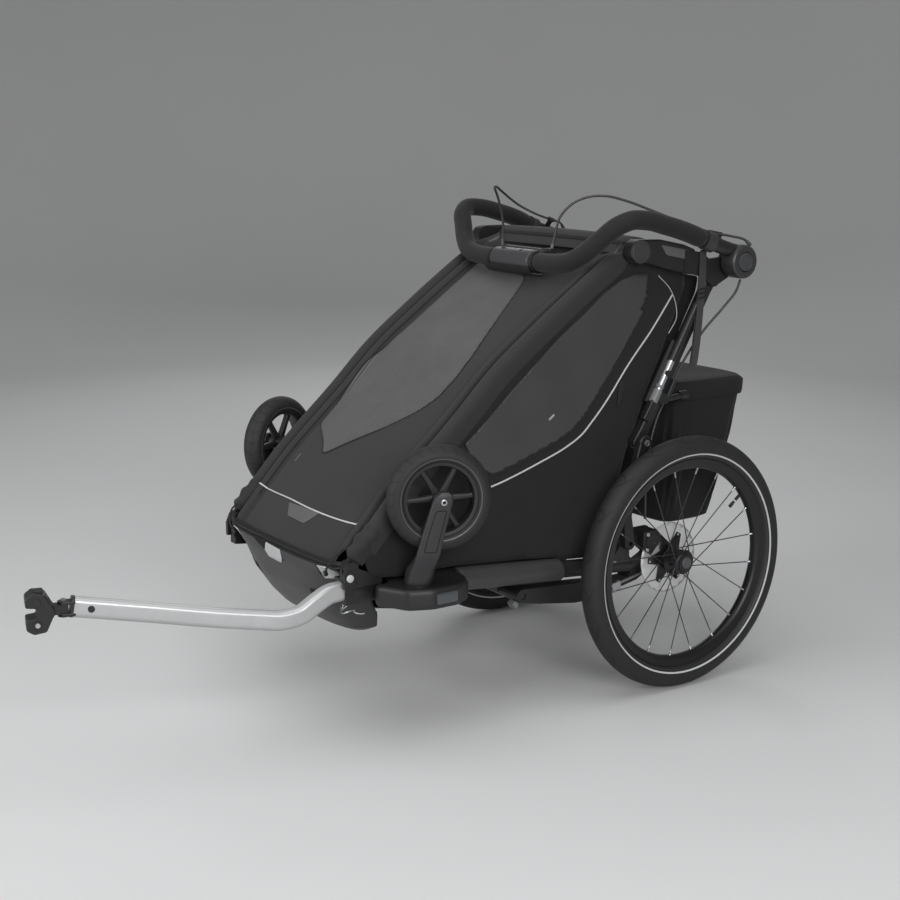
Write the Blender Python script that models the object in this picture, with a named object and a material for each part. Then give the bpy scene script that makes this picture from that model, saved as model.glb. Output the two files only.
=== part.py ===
"""Child bicycle trailer with one seat, folded-over push bar, stowed front wheels and tow arm.

Metres, +Z up. +X is the trailer's left side and -Y its front, where the tow arm reaches the bicycle.
The origin is on the floor under the middle of the trailer. Shapes are written from the floor point
under the middle of the wheel axle, and one empty carries them all to their place.
"""

import math

import bmesh
import bpy
from mathutils import Matrix, Vector

SIDES = {"left": 1, "right": -1}

# Driving sizes, measured from the axle point
AXLE_Y = 0.4713
WHEEL_RADIUS = 0.250
TRACK = 0.600
RAIL_X = 0.235
RAIL_FRONT = (-0.585, 0.2917)
RAIL_REAR = (-0.085, 0.2470)
RAIL_RADIUS = 0.0165
SLEEVE_RADIUS = 0.0215
SLEEVE_FRONT = -0.4945
SLEEVE_REAR = -0.260
HOOP_X = 0.213
HOOP_RADIUS = 0.0125
HOOP_HINGE = (-0.705, 0.335)
BRACKET_FRONT = (-0.090, 0.853)
HUB = (0.140, 0.826)
UPRIGHT_TOP = (0.100, 0.790)
ELBOW = (-0.075, 0.490)
STRUT_FOOT = (-0.108, 0.296)
UPRIGHT_X = (0.232, 0.250)
STRUT_X = (0.2515, 0.2680)
BAR_RADIUS = 0.0135
FOAM_RADIUS = 0.0182
GRIP_START = 0.0850
DOCK_BOTTOM = 0.266
DOCK_TOP = 0.302
STEM = (0.275, -0.603)
CASTER_TRAIL = 0.038
CASTER_TOE = math.radians(20.0)
CASTER_AXLE_Z = 0.455
CASTER_RADIUS = 0.094
ARM_PIVOT = (-0.340, 0.222)
ARM_Z = 0.291
RELEASE = (-0.7120, 0.3190)
HITCH = (0.083, -1.205, 0.315)
YAW_PIVOT = (0.0920, -1.1753, 0.315)
PEDAL_AXIS = (-0.105, 0.2490)
LATCH = (-0.0280, 0.5705)
BAR_MIDDLE = (-0.1870, 0.8260)
LEVER_PIVOT = (-0.1775, 0.7990)
SKIN = 0.003
CABLE = 0.005

# Finishes: colour, roughness, metallic
BLACK_PLASTIC = ((0.022, 0.022, 0.024), 0.45, 0.0)
BLACK_METAL = ((0.030, 0.030, 0.033), 0.38, 0.6)
FOAM = ((0.020, 0.020, 0.021), 0.85, 0.0)
RUBBER = ((0.018, 0.018, 0.019), 0.80, 0.0)
FABRIC = ((0.028, 0.028, 0.031), 0.90, 0.0)
SILVER = ((0.78, 0.79, 0.80), 0.30, 1.0)
GREY_CAP = ((0.32, 0.34, 0.34), 0.35, 0.0)


def clear_scene():
    """Empties the scene of every object."""
    for thing in list(bpy.data.objects):
        bpy.data.objects.remove(thing, do_unlink=True)


def paint(thing, color, roughness, metallic=0.0):
    """Gives an object its own Principled material."""
    material = bpy.data.materials.new(thing.name + "_finish")
    material.use_nodes = True
    shader = material.node_tree.nodes["Principled BSDF"]
    shader.inputs["Base Color"].default_value = (*color, 1.0)
    shader.inputs["Roughness"].default_value = roughness
    shader.inputs["Metallic"].default_value = metallic
    thing.data.materials.append(material)


def place(name, bm, finish, pivot=(0.0, 0.0, 0.0), smooth=None):
    """Turns a bmesh in axle coordinates into an object whose origin is at its pivot."""
    mesh = bpy.data.meshes.new(name)
    bmesh.ops.translate(bm, verts=bm.verts, vec=-Vector(pivot))
    bm.to_mesh(mesh)
    bm.free()
    if smooth:
        mesh.shade_smooth()
        mesh.set_sharp_from_angle(angle=math.radians(smooth))
    thing = bpy.data.objects.new(name, mesh)
    bpy.context.scene.collection.objects.link(thing)
    thing.location = pivot
    thing.parent = AXLE
    paint(thing, *finish)
    return thing


def rounded(thing, width, segments=2, angle=30.0):
    """Breaks the sharp edges of a piece with a Bevel modifier."""
    bevel = thing.modifiers.new("edge", "BEVEL")
    bevel.width = width
    bevel.segments = segments
    bevel.limit_method = "ANGLE"
    bevel.angle_limit = math.radians(angle)
    return thing


def combine(thing, bm, operation="DIFFERENCE", tool_name="cutter"):
    """Cuts a bmesh in axle coordinates out of an object, or joins it on."""
    tool = place(thing.name + "_" + tool_name, bm, BLACK_PLASTIC)
    tool.hide_render = True
    tool.display_type = "WIRE"
    boolean = thing.modifiers.new(tool_name, "BOOLEAN")
    boolean.operation = operation
    boolean.object = tool
    return thing


def loft(rings):
    """Skins a row of rings of equally many points and closes both ends."""
    bm = bmesh.new()
    rows = [[bm.verts.new(point) for point in ring] for ring in rings]
    for near, far in zip(rows, rows[1:]):
        for i in range(len(near)):
            j = (i + 1) % len(near)
            bm.faces.new((near[i], near[j], far[j], far[i]))
    bm.faces.new(rows[0][::-1])
    bm.faces.new(rows[-1])
    bmesh.ops.recalc_face_normals(bm, faces=bm.faces)
    return bm


def on_axis(axis, along, a, b):
    """A point at a distance along an axis, with its two other coordinates in X, Y, Z order."""
    return {"x": (along, a, b), "y": (a, along, b), "z": (a, b, along)}[axis]


def prism(outline, axis, low, high):
    """An outline extruded along an axis from low to high."""
    return loft([[on_axis(axis, along, a, b) for a, b in outline] for along in (low, high)])


def circle(centre, radius, steps, start=0.0):
    """Points of a circle in a plane, as pairs."""
    turns = [start + 2 * math.pi * i / steps for i in range(steps)]
    return [(centre[0] + radius * math.cos(t), centre[1] + radius * math.sin(t)) for t in turns]


def arc(centre, radius, first, last, steps):
    """Points of an arc between two angles in degrees, as pairs."""
    turns = [math.radians(first + (last - first) * i / steps) for i in range(steps + 1)]
    return [(centre[0] + radius * math.cos(t), centre[1] + radius * math.sin(t)) for t in turns]


def turned(profile, axis, centre, steps):
    """A solid of revolution: (distance along the axis, radius) pairs, capped flat at both ends."""
    rings = []
    for along, radius in profile:
        rings.append([on_axis(axis, along, a, b) for a, b in circle(centre, radius, steps)])
    return loft(rings)


def hoop_of(profile, axis, centre, steps):
    """A ring of revolution from a closed profile of (distance along the axis, radius) pairs."""
    bm = bmesh.new()
    rows = []
    for i in range(steps):
        turn = 2 * math.pi * i / steps
        row = []
        for along, radius in profile:
            a = centre[0] + radius * math.cos(turn)
            b = centre[1] + radius * math.sin(turn)
            row.append(bm.verts.new(on_axis(axis, along, a, b)))
        rows.append(row)
    for i in range(steps):
        near, far = rows[i], rows[(i + 1) % steps]
        for j in range(len(profile)):
            k = (j + 1) % len(profile)
            bm.faces.new((near[j], near[k], far[k], far[j]))
    bmesh.ops.recalc_face_normals(bm, faces=bm.faces)
    return bm


def smooth_route(points, spacing):
    """Evenly spaced points on a Catmull-Rom curve through the points of a route."""
    knots = [Vector(p) for p in points]
    ends = [knots[0] * 2 - knots[1]] + knots + [knots[-1] * 2 - knots[-2]]
    fine = []
    for i in range(1, len(ends) - 2):
        p0, p1, p2, p3 = ends[i - 1:i + 3]
        for step in range(12):
            t = step / 12
            fine.append(0.5 * (2 * p1 + (p2 - p0) * t + (2 * p0 - 5 * p1 + 4 * p2 - p3) * t * t
                               + (3 * p1 - p0 - 3 * p2 + p3) * t ** 3))
    fine.append(knots[-1])
    length = sum((b - a).length for a, b in zip(fine, fine[1:]))
    count = max(2, round(length / spacing))
    even = [fine[0]]
    travelled = 0.0
    for a, b in zip(fine, fine[1:]):
        piece = (b - a).length
        while len(even) < count and travelled + piece >= length * len(even) / count:
            share = (length * len(even) / count - travelled) / piece
            even.append(a.lerp(b, share))
        travelled += piece
    even.append(fine[-1])
    return even


def eased(route, degrees):
    """The points of a route where it has turned by an angle since the last point kept, and its ends."""
    kept = [route[0]]
    heading = route[1] - route[0]
    for here, ahead in zip(route[1:], route[2:]):
        if heading.angle(ahead - here) > math.radians(degrees):
            kept.append(here)
            heading = ahead - here
    return kept + [route[-1]]


def tube(name, points, radius, finish, pivot=(0.0, 0.0, 0.0), resolution=2):
    """A round bar or cable: a poly curve with a bevel and closed ends."""
    curve = bpy.data.curves.new(name, "CURVE")
    curve.dimensions = "3D"
    curve.bevel_depth = radius
    curve.bevel_resolution = resolution
    curve.use_fill_caps = True
    spline = curve.splines.new("POLY")
    spline.points.add(len(points) - 1)
    for target, point in zip(spline.points, points):
        target.co = (*(Vector(point) - Vector(pivot)), 1.0)
    thing = bpy.data.objects.new(name, curve)
    bpy.context.scene.collection.objects.link(thing)
    thing.location = pivot
    thing.parent = AXLE
    paint(thing, *finish)
    return thing


def sweep(path, sections, side):
    """Carries flat sections of (sideways, up) pairs along a path, square to it."""
    points = [Vector(p) for p in path]
    rings = []
    for i, (point, section) in enumerate(zip(points, sections)):
        ahead = points[min(i + 1, len(points) - 1)] - points[max(i - 1, 0)]
        across = (Vector(side) - Vector(side).project(ahead)).normalized()
        up = ahead.cross(across).normalized()
        rings.append([point + across * a + up * b for a, b in section])
    return loft(rings)


def rounded_rectangle(width, height, radius, steps=2):
    """The outline of a rectangle with round corners about the origin."""
    outline = []
    for sx, sy, first in ((1, 1, 0), (-1, 1, 90), (-1, -1, 180), (1, -1, 270)):
        corner = (sx * (width / 2 - radius), sy * (height / 2 - radius))
        outline += arc(corner, radius, first, first + 90, steps)
    return outline


def sheet(name, grid, thickness, finish, pivot=(0.0, 0.0, 0.0)):
    """A grid of points skinned as one surface and thickened evenly about it."""
    bm = bmesh.new()
    rows = [[bm.verts.new(point) for point in row] for row in grid]
    for near, far in zip(rows, rows[1:]):
        for i in range(len(near) - 1):
            bm.faces.new((near[i], near[i + 1], far[i + 1], far[i]))
    thing = place(name, bm, finish, pivot)
    wall = thing.modifiers.new("wall", "SOLIDIFY")
    wall.thickness = thickness
    wall.offset = 0.0
    wall.use_even_offset = True
    return thing


def mix(a, b, share):
    """The value a share of the way from a to b."""
    return a + (b - a) * share


def rail_height(y):
    """Height of the side rails' centre line, which climbs gently to the front."""
    share = (y - RAIL_FRONT[0]) / (RAIL_REAR[0] - RAIL_FRONT[0])
    return mix(RAIL_FRONT[1], RAIL_REAR[1], share)


def rail(side, sign):
    """Side rail: a tube with a thick sleeve in its middle and a lug for the rear strut."""
    steps = ((RAIL_FRONT[0], 0.0130), (-0.4990, 0.0130), (-0.4990, 0.0190), (SLEEVE_FRONT, SLEEVE_RADIUS),
             (SLEEVE_REAR, SLEEVE_RADIUS), (SLEEVE_REAR + 0.003, RAIL_RADIUS), (-0.089, RAIL_RADIUS),
             (RAIL_REAR[0], 0.0130))
    rings = []
    for y, radius in steps:
        rings.append([(x, y, z) for x, z in circle((sign * RAIL_X, rail_height(y)), radius, 12)])
    thing = place(side + "_side_rail", loft(rings), BLACK_METAL, smooth=40)
    lug = arc(STRUT_FOOT, 0.014, -20, 200, 6) + [(-0.150, 0.252), (-0.094, 0.250)]
    return combine(thing, prism(lug, "x", sign * 0.2300, sign * 0.2500), "UNION", "lug")


def dock(side, sign):
    """Front wheel dock: a chamfered block that takes the rail's end and the stowed wheel's stem."""
    plan = [(0.200, -0.6446), (0.2262, -0.6446), (0.2300, -0.6630), (0.2440, -0.6670), (0.300, -0.640),
            (0.318, -0.598), (0.318, -0.545), (0.300, -0.514), (0.270, -0.500), (0.200, -0.500)]
    thing = place(side + "_wheel_dock", prism([(sign * x, y) for x, y in plan], "z", DOCK_BOTTOM, DOCK_TOP),
                  BLACK_PLASTIC)
    rounded(thing, 0.005, 1)
    bore = []
    for y in (RAIL_FRONT[0] - 0.001, -0.480):
        bore.append([(x, y, z) for x, z in circle((sign * RAIL_X, rail_height(y)), 0.0135, 12)])
    if sign < 0:
        bracket = [(-0.7150, 0.2850), (-0.6300, 0.2750), (-0.6300, 0.2990), (-0.6450, 0.3125),
                   (-0.7150, 0.3125)]
        combine(thing, prism(bracket, "x", -0.2000, -0.2200), "UNION", "foot_block")
        hinge_cheeks(thing, sign)
    combine(thing, loft(bore), tool_name="rail_bore")
    stem = turned([(0.274, 0.0095), (0.310, 0.0095)], "z", (sign * STEM[0], STEM[1]), 12)
    return combine(thing, stem, tool_name="stem_bore")


# Half widths, heights, front reach and depth of the nose shell, from its rolled rim down to its keel
NOSE_ROWS = ((0.1945, 0.3410, -0.7280, 0.022), (0.1975, 0.3340, -0.7350, 0.024),
             (0.1955, 0.3270, -0.7310, 0.024), (0.1965, 0.3185, -0.7350, 0.022),
             (0.1790, 0.3160, -0.7360, 0.022), (0.1760, 0.3050, -0.7350, 0.070),
             (0.1720, 0.2620, -0.7190, 0.080), (0.1600, 0.2200, -0.6920, 0.076),
             (0.1450, 0.1930, -0.6680, 0.064), (0.1250, 0.1830, -0.6480, 0.046),
             (0.1200, 0.2095, -0.5950, 0.004))


def nose():
    """Front bumper: a moulded shell with a rolled rim, a step above the tow socket and a narrow keel."""
    grid = []
    for half, z, front, depth in NOSE_ROWS:
        row = []
        for step in range(13):
            turn = math.radians(-90 + 180 * step / 12)
            x = half * math.copysign(abs(math.sin(turn)) ** 0.55, turn)
            y = front + depth * (1 - math.cos(turn) ** 0.70)
            row.append((x, y, z))
        grid.append(row)
    return sheet("front_bumper", grid, SKIN, BLACK_PLASTIC)


def floor_pan():
    """Floor pan: a footwell behind the nose and a bench under the seat cushion, with a lip on each rail."""
    grid = []
    for y, z in ((-0.600, 0.222), (-0.560, 0.214), (-0.470, 0.214), (-0.428, 0.240), (-0.422, 0.316),
                 (-0.160, 0.316), (-0.138, 0.268)):
        half = 0.130 if z < 0.250 else 0.172
        row = [(-0.1980, y, 0.294), (-0.1960, y, 0.272), (-0.1880, y, 0.266)]
        row += [(-half, y, z), (0.0, y, z), (half, y, z)]
        row += [(0.1880, y, 0.266), (0.1960, y, 0.272), (0.1980, y, 0.294)]
        grid.append(row)
    return sheet("floor_pan", grid, SKIN, FABRIC)


def cross_beams():
    """Cross beams under the floor: one carries the suspension arms on end pins, one the brake pedal."""
    y, z = ARM_PIVOT
    half = [(0.1975, 0.012), (0.1975, 0.006), (0.2300, 0.006)]
    steps = [(-x, radius) for x, radius in reversed(half)] + half
    front = place("suspension_beam", turned(steps, "x", ARM_PIVOT, 12), BLACK_METAL, smooth=40)
    for side, sign in SIDES.items():
        lug = [(y - 0.016, z - 0.002), (y + 0.016, z - 0.002), (y + 0.014, 0.2500), (y - 0.014, 0.2500)]
        combine(front, prism(lug, "x", sign * 0.160, sign * 0.172), "UNION", side + "_lug")
    rear = turned([(-0.2175, 0.009), (0.2175, 0.009)], "x", PEDAL_AXIS, 12)
    place("rear_beam", rear, BLACK_METAL, smooth=40)


def brake_pedal():
    """Parking brake pedal: a treadle hooked on the rear beam, pointing back between the wheels."""
    y, z = PEDAL_AXIS
    outline = [(y + 0.0095, z - 0.004), (y + 0.040, z - 0.008), (y + 0.072, z - 0.020),
               (y + 0.074, z - 0.014), (y + 0.045, z + 0.001), (y + 0.0095, z + 0.005)]
    treadle = place("parking_brake_pedal", prism(outline, "x", -0.030, 0.030), BLACK_PLASTIC, (0.0, y, z))
    rounded(treadle, 0.0015, 1)


def cushion(name, path, half_width, half_height, channels):
    """A padded cushion: soft-cornered sections along a path, drawn in at the ends and at sewn channels."""
    route = smooth_route([(0.0, y, z) for y, z in path], 0.024)
    rings = []
    for i, point in enumerate(route):
        share = i / (len(route) - 1)
        end = min(1.0, 6.0 * min(share, 1 - share)) ** 0.45
        quilting = 1.0 - 0.30 * abs(math.cos(math.pi * channels * share)) ** 8
        ahead = route[min(i + 1, len(route) - 1)] - route[max(i - 1, 0)]
        up = Vector((0.0, -ahead.z, ahead.y)).normalized()
        ring = []
        for step in range(14):
            turn = 2 * math.pi * step / 14
            wide = math.copysign(abs(math.cos(turn)) ** 0.45, math.cos(turn))
            tall = math.copysign(abs(math.sin(turn)) ** 0.80, math.sin(turn))
            crown = half_height * (0.25 + 0.75 * end * quilting)
            across = half_width * (0.93 + 0.07 * end)
            ring.append(point + Vector((across * wide, 0.0, 0.0)) + up * crown * tall)
        rings.append(ring)
    place(name, loft(rings), FABRIC, smooth=50)


def hoop_side():
    """Points (y, z) of the front hoop's leg, from its foot to the shoulder."""
    return ((-0.690, 0.351), (-0.600, 0.447), (-0.470, 0.565), (-0.385, 0.645), (-0.294, 0.713),
            (-0.190, 0.785), (-0.115, 0.832))


def hoop():
    """Front hoop: one bent tube over the cabin, with an eye at each foot for the folding axis."""
    points = [(HOOP_X, y, z) for y, z in hoop_side()[:-1]] + [(0.2105, *hoop_side()[-1])]
    points += [(0.190, -0.076, 0.855), (0.140, -0.061, 0.8620)]
    left = eased(smooth_route(points, 0.030), 6.0)
    route = left + [Vector((-x, y, z)) for x, y, z in reversed(left)]
    frame = place("front_hoop", sweep_round(route, HOOP_RADIUS, 8), BLACK_METAL, (0.0, *HOOP_HINGE),
                  smooth=50)
    for side, sign in SIDES.items():
        eye = arc(HOOP_HINGE, 0.0115, 150, 330, 8) + [(-0.678, 0.352), (-0.694, 0.368)]
        combine(frame, prism(eye, "x", sign * 0.2090, sign * 0.2168), "UNION", side + "_eye")
    return frame


def sweep_round(route, radius, sides):
    """A round bar along a route, as a closed mesh."""
    rings = []
    up = Vector((0.0, 0.0, 1.0))
    for i, point in enumerate(route):
        ahead = (route[min(i + 1, len(route) - 1)] - route[max(i - 1, 0)]).normalized()
        up = (up - up.project(ahead)).normalized()
        across = ahead.cross(up)
        rings.append([point + across * a + up * b for a, b in circle((0.0, 0.0), radius, sides)])
    return loft(rings)


def sleeve(route, inner, outer, sides):
    """A tube with an open bore along a route, as one closed ring of material."""
    bm = bmesh.new()
    up = Vector((0.0, 0.0, 1.0))
    loops = []
    for i, point in enumerate(route):
        ahead = (route[min(i + 1, len(route) - 1)] - route[max(i - 1, 0)]).normalized()
        up = (up - up.project(ahead)).normalized()
        across = ahead.cross(up)
        both = []
        for radius in (outer, inner):
            ring = [point + across * a + up * b for a, b in circle((0.0, 0.0), radius, sides)]
            both.append([bm.verts.new(spot) for spot in ring])
        loops.append(both)
    rows = [both[0] for both in loops] + [both[1] for both in reversed(loops)]
    for near, far in zip(rows, rows[1:] + rows[:1]):
        for i in range(sides):
            j = (i + 1) % sides
            bm.faces.new((near[i], near[j], far[j], far[i]))
    bmesh.ops.recalc_face_normals(bm, faces=bm.faces)
    return bm


def hinge_cheeks(foot, sign):
    """Adds the two cheeks that hold the hoop's eye, with a clear slot between them."""
    y, z = HOOP_HINGE
    outer = arc(HOOP_HINGE, 0.0120, -10, 175, 6)
    outer += [(-0.7220, 0.3250), (-0.7220, 0.3000), (-0.6460, 0.3000), (-0.6460, 0.3110), (-0.6760, 0.3255)]
    combine(foot, prism(outer, "x", sign * 0.2172, sign * 0.2255), "UNION", "outer_cheek")
    inner = arc(HOOP_HINGE, 0.0120, -10, 170, 6) + [(-0.7170, 0.3000), (-0.6600, 0.3000), (-0.6760, 0.3255)]
    combine(foot, prism(inner, "x", sign * 0.2005, sign * 0.2086), "UNION", "inner_cheek")
    slot = [(y - 0.0135, 0.3140), (y + 0.0500, 0.3140), (y + 0.0500, 0.3500), (y - 0.0135, 0.3500)]
    return combine(foot, prism(slot, "x", sign * 0.2086, sign * 0.2172), tool_name="hoop_slot")


def tow_receiver():
    """Tow socket in front of the left dock, cast in one with the clevis of the hoop's foot."""
    base = [(-0.7150, 0.2685), (-0.6450, 0.2685), (-0.6450, 0.3125), (-0.7150, 0.3125)]
    receiver = place("tow_receiver", prism(base, "x", 0.1797, 0.2175), BLACK_PLASTIC)
    hinge_cheeks(receiver, 1)
    section = rounded_rectangle(0.0268, 0.0348, 0.009)
    bore = sweep([(0.200, -0.740, ARM_Z), (0.200, -0.6480, ARM_Z)], [section] * 2, (1, 0, 0))
    combine(receiver, bore, tool_name="arm_bore")
    well = turned([(0.2200, 0.0076), (0.2300, 0.0076)], "x", RELEASE, 12)
    return combine(receiver, well, tool_name="button_well")


def release_button():
    """Round push button on the tow socket that lets the arm slide out."""
    x = 0.2236
    steps = [(x, 0.0070), (x + 0.0050, 0.0070), (x + 0.0060, 0.0058)]
    place("tow_release_button", turned(steps, "x", RELEASE, 12), SILVER, (x, *RELEASE), smooth=40)


def tow_arm():
    """Tow arm: one bent box tube from the socket down and forward to the hitch yoke at its tip."""
    path = ((0.0920, -1.1600, 0.3155), (0.1280, -1.0400, 0.2930), (0.1650, -0.9190, 0.2700),
            (0.1805, -0.8680, 0.2620), (0.1925, -0.8280, 0.2570), (0.1985, -0.7950, 0.2620),
            (0.2000, -0.7650, 0.2780), (0.2000, -0.7400, 0.2890), (0.2000, -0.7150, ARM_Z),
            (0.2000, -0.6490, ARM_Z))
    route = eased(smooth_route(path, 0.016), 5.0)
    section = rounded_rectangle(0.026, 0.034, 0.009)
    arm = place("tow_arm", sweep(route, [section] * len(route), (1, 0, 0)), SILVER, smooth=50)
    yoke_outline = [(0.0540, 0.0125), (0.0240, 0.0135), (0.0240, 0.0097), (0.0430, 0.0097), (0.0430, -0.0097),
                    (0.0240, -0.0097), (0.0240, -0.0135), (0.0540, -0.0125)]
    yoke = prism(yoke_outline, "x", -0.0110, 0.0110)
    combine(arm, hitch_space(yoke), "UNION", "yoke")
    pin_hole = hitch_space(turned([(-0.02, 0.0036), (0.02, 0.0036)], "z", (0.0, 0.0310), 10))
    return combine(arm, pin_hole, tool_name="pin_hole")


def hitch_space(bm):
    """Turns a bmesh from the hitch's own frame, with -Y along the arm, into axle coordinates."""
    turn = Matrix.Translation(HITCH) @ Matrix.Rotation(math.radians(-16.9), 4, "Z")
    bmesh.ops.transform(bm, matrix=turn, verts=bm.verts)
    return bm


def hitch():
    """Hitch: a neck that yaws in the arm's yoke and a two-jaw coupler that pitches on the neck."""
    outline = arc((0.0, 0.0), 0.0085, 90, 270, 8) + [(0.0300, -0.0085), (0.0385, -0.0060), (0.0385, 0.0060),
                                                      (0.0300, 0.0085)]
    neck = place("hitch_neck", hitch_space(prism(outline, "x", -0.0078, 0.0078)), BLACK_METAL, YAW_PIVOT)
    eye = hitch_space(turned([(-0.02, 0.0036), (0.02, 0.0036)], "x", (0.0, 0.0), 10))
    combine(neck, eye, tool_name="eye")
    pin = hitch_space(turned([(-0.0135, 0.0030), (0.0135, 0.0030)], "z", (0.0, 0.0310), 10))
    combine(neck, pin, "UNION", "yaw_pin")
    jaws = [(0.0020, 0.0300), (-0.0180, 0.0340), (-0.0300, 0.0250), (-0.0300, 0.0100), (-0.0130, 0.0080),
            (-0.0130, -0.0080), (-0.0300, -0.0100), (-0.0300, -0.0280), (-0.0180, -0.0360), (0.0020, -0.0330)]
    jaws += arc((0.0, 0.0), 0.0165, -42, 42, 4)
    coupler = place("hitch_coupler", hitch_space(prism(jaws, "x", -0.0190, 0.0190)), BLACK_METAL, HITCH)
    rounded(coupler, 0.002, 1)
    slot = [(-0.0095, -0.0200), (0.0300, -0.0200), (0.0300, 0.0200), (-0.0095, 0.0200)]
    combine(coupler, hitch_space(prism(slot, "x", -0.0084, 0.0084)), tool_name="neck_slot")
    cross_pin = hitch_space(turned([(-0.0186, 0.0030), (0.0186, 0.0030)], "x", (0.0, 0.0), 10))
    combine(coupler, cross_pin, "UNION", "cross_pin")


def front_cover():
    """Front cover: cloth stretched between the hoop's legs, crowned at the feet and slack at the top."""
    path = ((-0.703, 0.334),) + hoop_side()[1:-1] + ((-0.148, 0.8120),)
    route = smooth_route([(0.0, y, z) for y, z in path], 0.075)
    grid = []
    for i, point in enumerate(route):
        share = i / (len(route) - 1)
        ahead = route[min(i + 1, len(route) - 1)] - route[max(i - 1, 0)]
        out = Vector((0.0, -ahead.z, ahead.y)).normalized()
        crown = mix(0.018, -0.008, share ** 1.5)
        xs = [-0.1985 + 0.397 * step / 6 for step in range(7)]
        grid.append([point + Vector((x, 0, 0)) + out * crown * (1 - (x / 0.1985) ** 2) for x in xs])
    sheet("front_cover", grid, 0.003, FABRIC, (0.0, *HOOP_HINGE))


def roof_panel():
    """Roof panel: cloth from the top of the hoop back over the cross tube, between the brackets."""
    grid = []
    for y, z in ((-0.038, 0.864), (0.000, 0.855), (0.040, 0.842), (0.070, 0.822), (0.080, 0.796)):
        xs = [-0.212 + 0.424 * step / 6 for step in range(7)]
        grid.append([(x, y, z + 0.006 * (1 - (x / 0.212) ** 2)) for x in xs])
    sheet("roof_panel", grid, 0.003, FABRIC)


def side_panel(side, sign):
    """Side panel: cloth and window closing the cabin beside the hoop's leg, down to the rail."""
    top = [(y + 0.008, z + 0.009) for y, z in hoop_side()[1:6]]
    rear = [(-0.122, 0.834), (-0.098, 0.815), (0.052, 0.785), (0.012, 0.700), (-0.052, 0.560),
            (-0.092, 0.470), (-0.118, 0.380), (-0.134, 0.288)]
    hem = [(-0.255, 0.2885), (-0.490, 0.3100), (-0.600, 0.3160), (-0.668, 0.3330), (-0.686, 0.350)]
    outline = top + rear + hem
    place(side + "_side_panel", prism(outline, "x", sign * 0.2266, sign * 0.2290), FABRIC)


def rear_panel():
    """Rear panel: cloth behind the seat back, down to the floor."""
    rows = ((-0.1300, 0.275), (-0.1100, 0.420), (-0.0660, 0.550), (-0.0100, 0.690), (0.0350, 0.782))
    grid = [[(x, y, z) for x in (-0.222, -0.11, 0.0, 0.11, 0.222)] for y, z in rows]
    sheet("rear_panel", grid, 0.002, FABRIC)


def top_bracket(side, sign):
    """Top bracket: a tapering casting on the hoop with a recessed plate and a cheek back to the bar hub."""
    block = arc(BRACKET_FRONT, 0.0225, 80, 215, 8)
    block += [(-0.060, 0.8290), (-0.010, 0.8150), (0.045, 0.8030), (0.050, 0.8510), (0.020, 0.8620),
              (-0.040, 0.8740)]
    casting = place(side + "_top_bracket", prism(block, "x", sign * 0.2305, sign * 0.2560), BLACK_PLASTIC)
    rounded(casting, 0.003, 1)
    boss = turned([(0.2262, 0.017), (0.2400, 0.017)], "x", BRACKET_FRONT, 14)
    boss = mirrored(boss, sign)
    combine(casting, boss, "UNION", "hoop_boss")
    plate = [(-0.040, 0.8640), (0.034, 0.8500), (0.030, 0.8330), (-0.026, 0.8440)]
    combine(casting, prism(plate, "x", sign * 0.2549, sign * 0.2600), tool_name="plate_recess")
    cheek = [(0.020, 0.8520), (0.062, 0.8460), (0.084, 0.8320), (0.1125, 0.8340)]
    cheek += arc(HUB, 0.0275, 160, -60, 10) + arc(UPRIGHT_TOP, 0.0130, -40, -150, 4)
    cheek += [(0.060, 0.8000), (0.020, 0.8100)]
    combine(casting, prism(cheek, "x", sign * 0.2508, sign * 0.2570), "UNION", "cheek")
    pin = mirrored(turned([(0.2520, 0.0080), (0.2850, 0.0080)], "x", HUB, 14), sign)
    combine(casting, pin, "UNION", "bar_pin")
    brace_pin = mirrored(turned([(0.2335, 0.0050), (0.2520, 0.0050)], "x", UPRIGHT_TOP, 10), sign)
    return combine(casting, brace_pin, "UNION", "brace_pin")


def mirrored(bm, sign):
    """Mirrors a bmesh to the other side where the sign is negative."""
    if sign < 0:
        bmesh.ops.scale(bm, vec=(-1, 1, 1), verts=bm.verts)
        bmesh.ops.reverse_faces(bm, faces=bm.faces)
    return bm


def cross_tube():
    """Tube that ties the two top brackets together under the roof's rear edge."""
    bar = turned([(-0.2300, 0.009), (0.2300, 0.009)], "x", (0.028, 0.824), 12)
    place("rear_cross_tube", bar, BLACK_METAL, smooth=40)


def bar_outline(a, b, width, first, last):
    """Outline of a flat bar with a round eye of its own radius at each end."""
    ahead = math.degrees(math.atan2(b[1] - a[1], b[0] - a[0]))
    across = Vector((-math.sin(math.radians(ahead)), math.cos(math.radians(ahead)))) * width
    eye_a = arc(a, first, ahead + 115, ahead + 245, 6)
    eye_b = arc(b, last, ahead - 65, ahead + 65, 6)
    inset = Vector((b[0] - a[0], b[1] - a[1])).normalized() * 0.024
    near, far = Vector(a) + inset, Vector(b) - inset
    outgoing = [tuple(near - across), tuple(far - across)]
    return eye_a + outgoing + eye_b + [tuple(far + across), tuple(near + across)]


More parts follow.
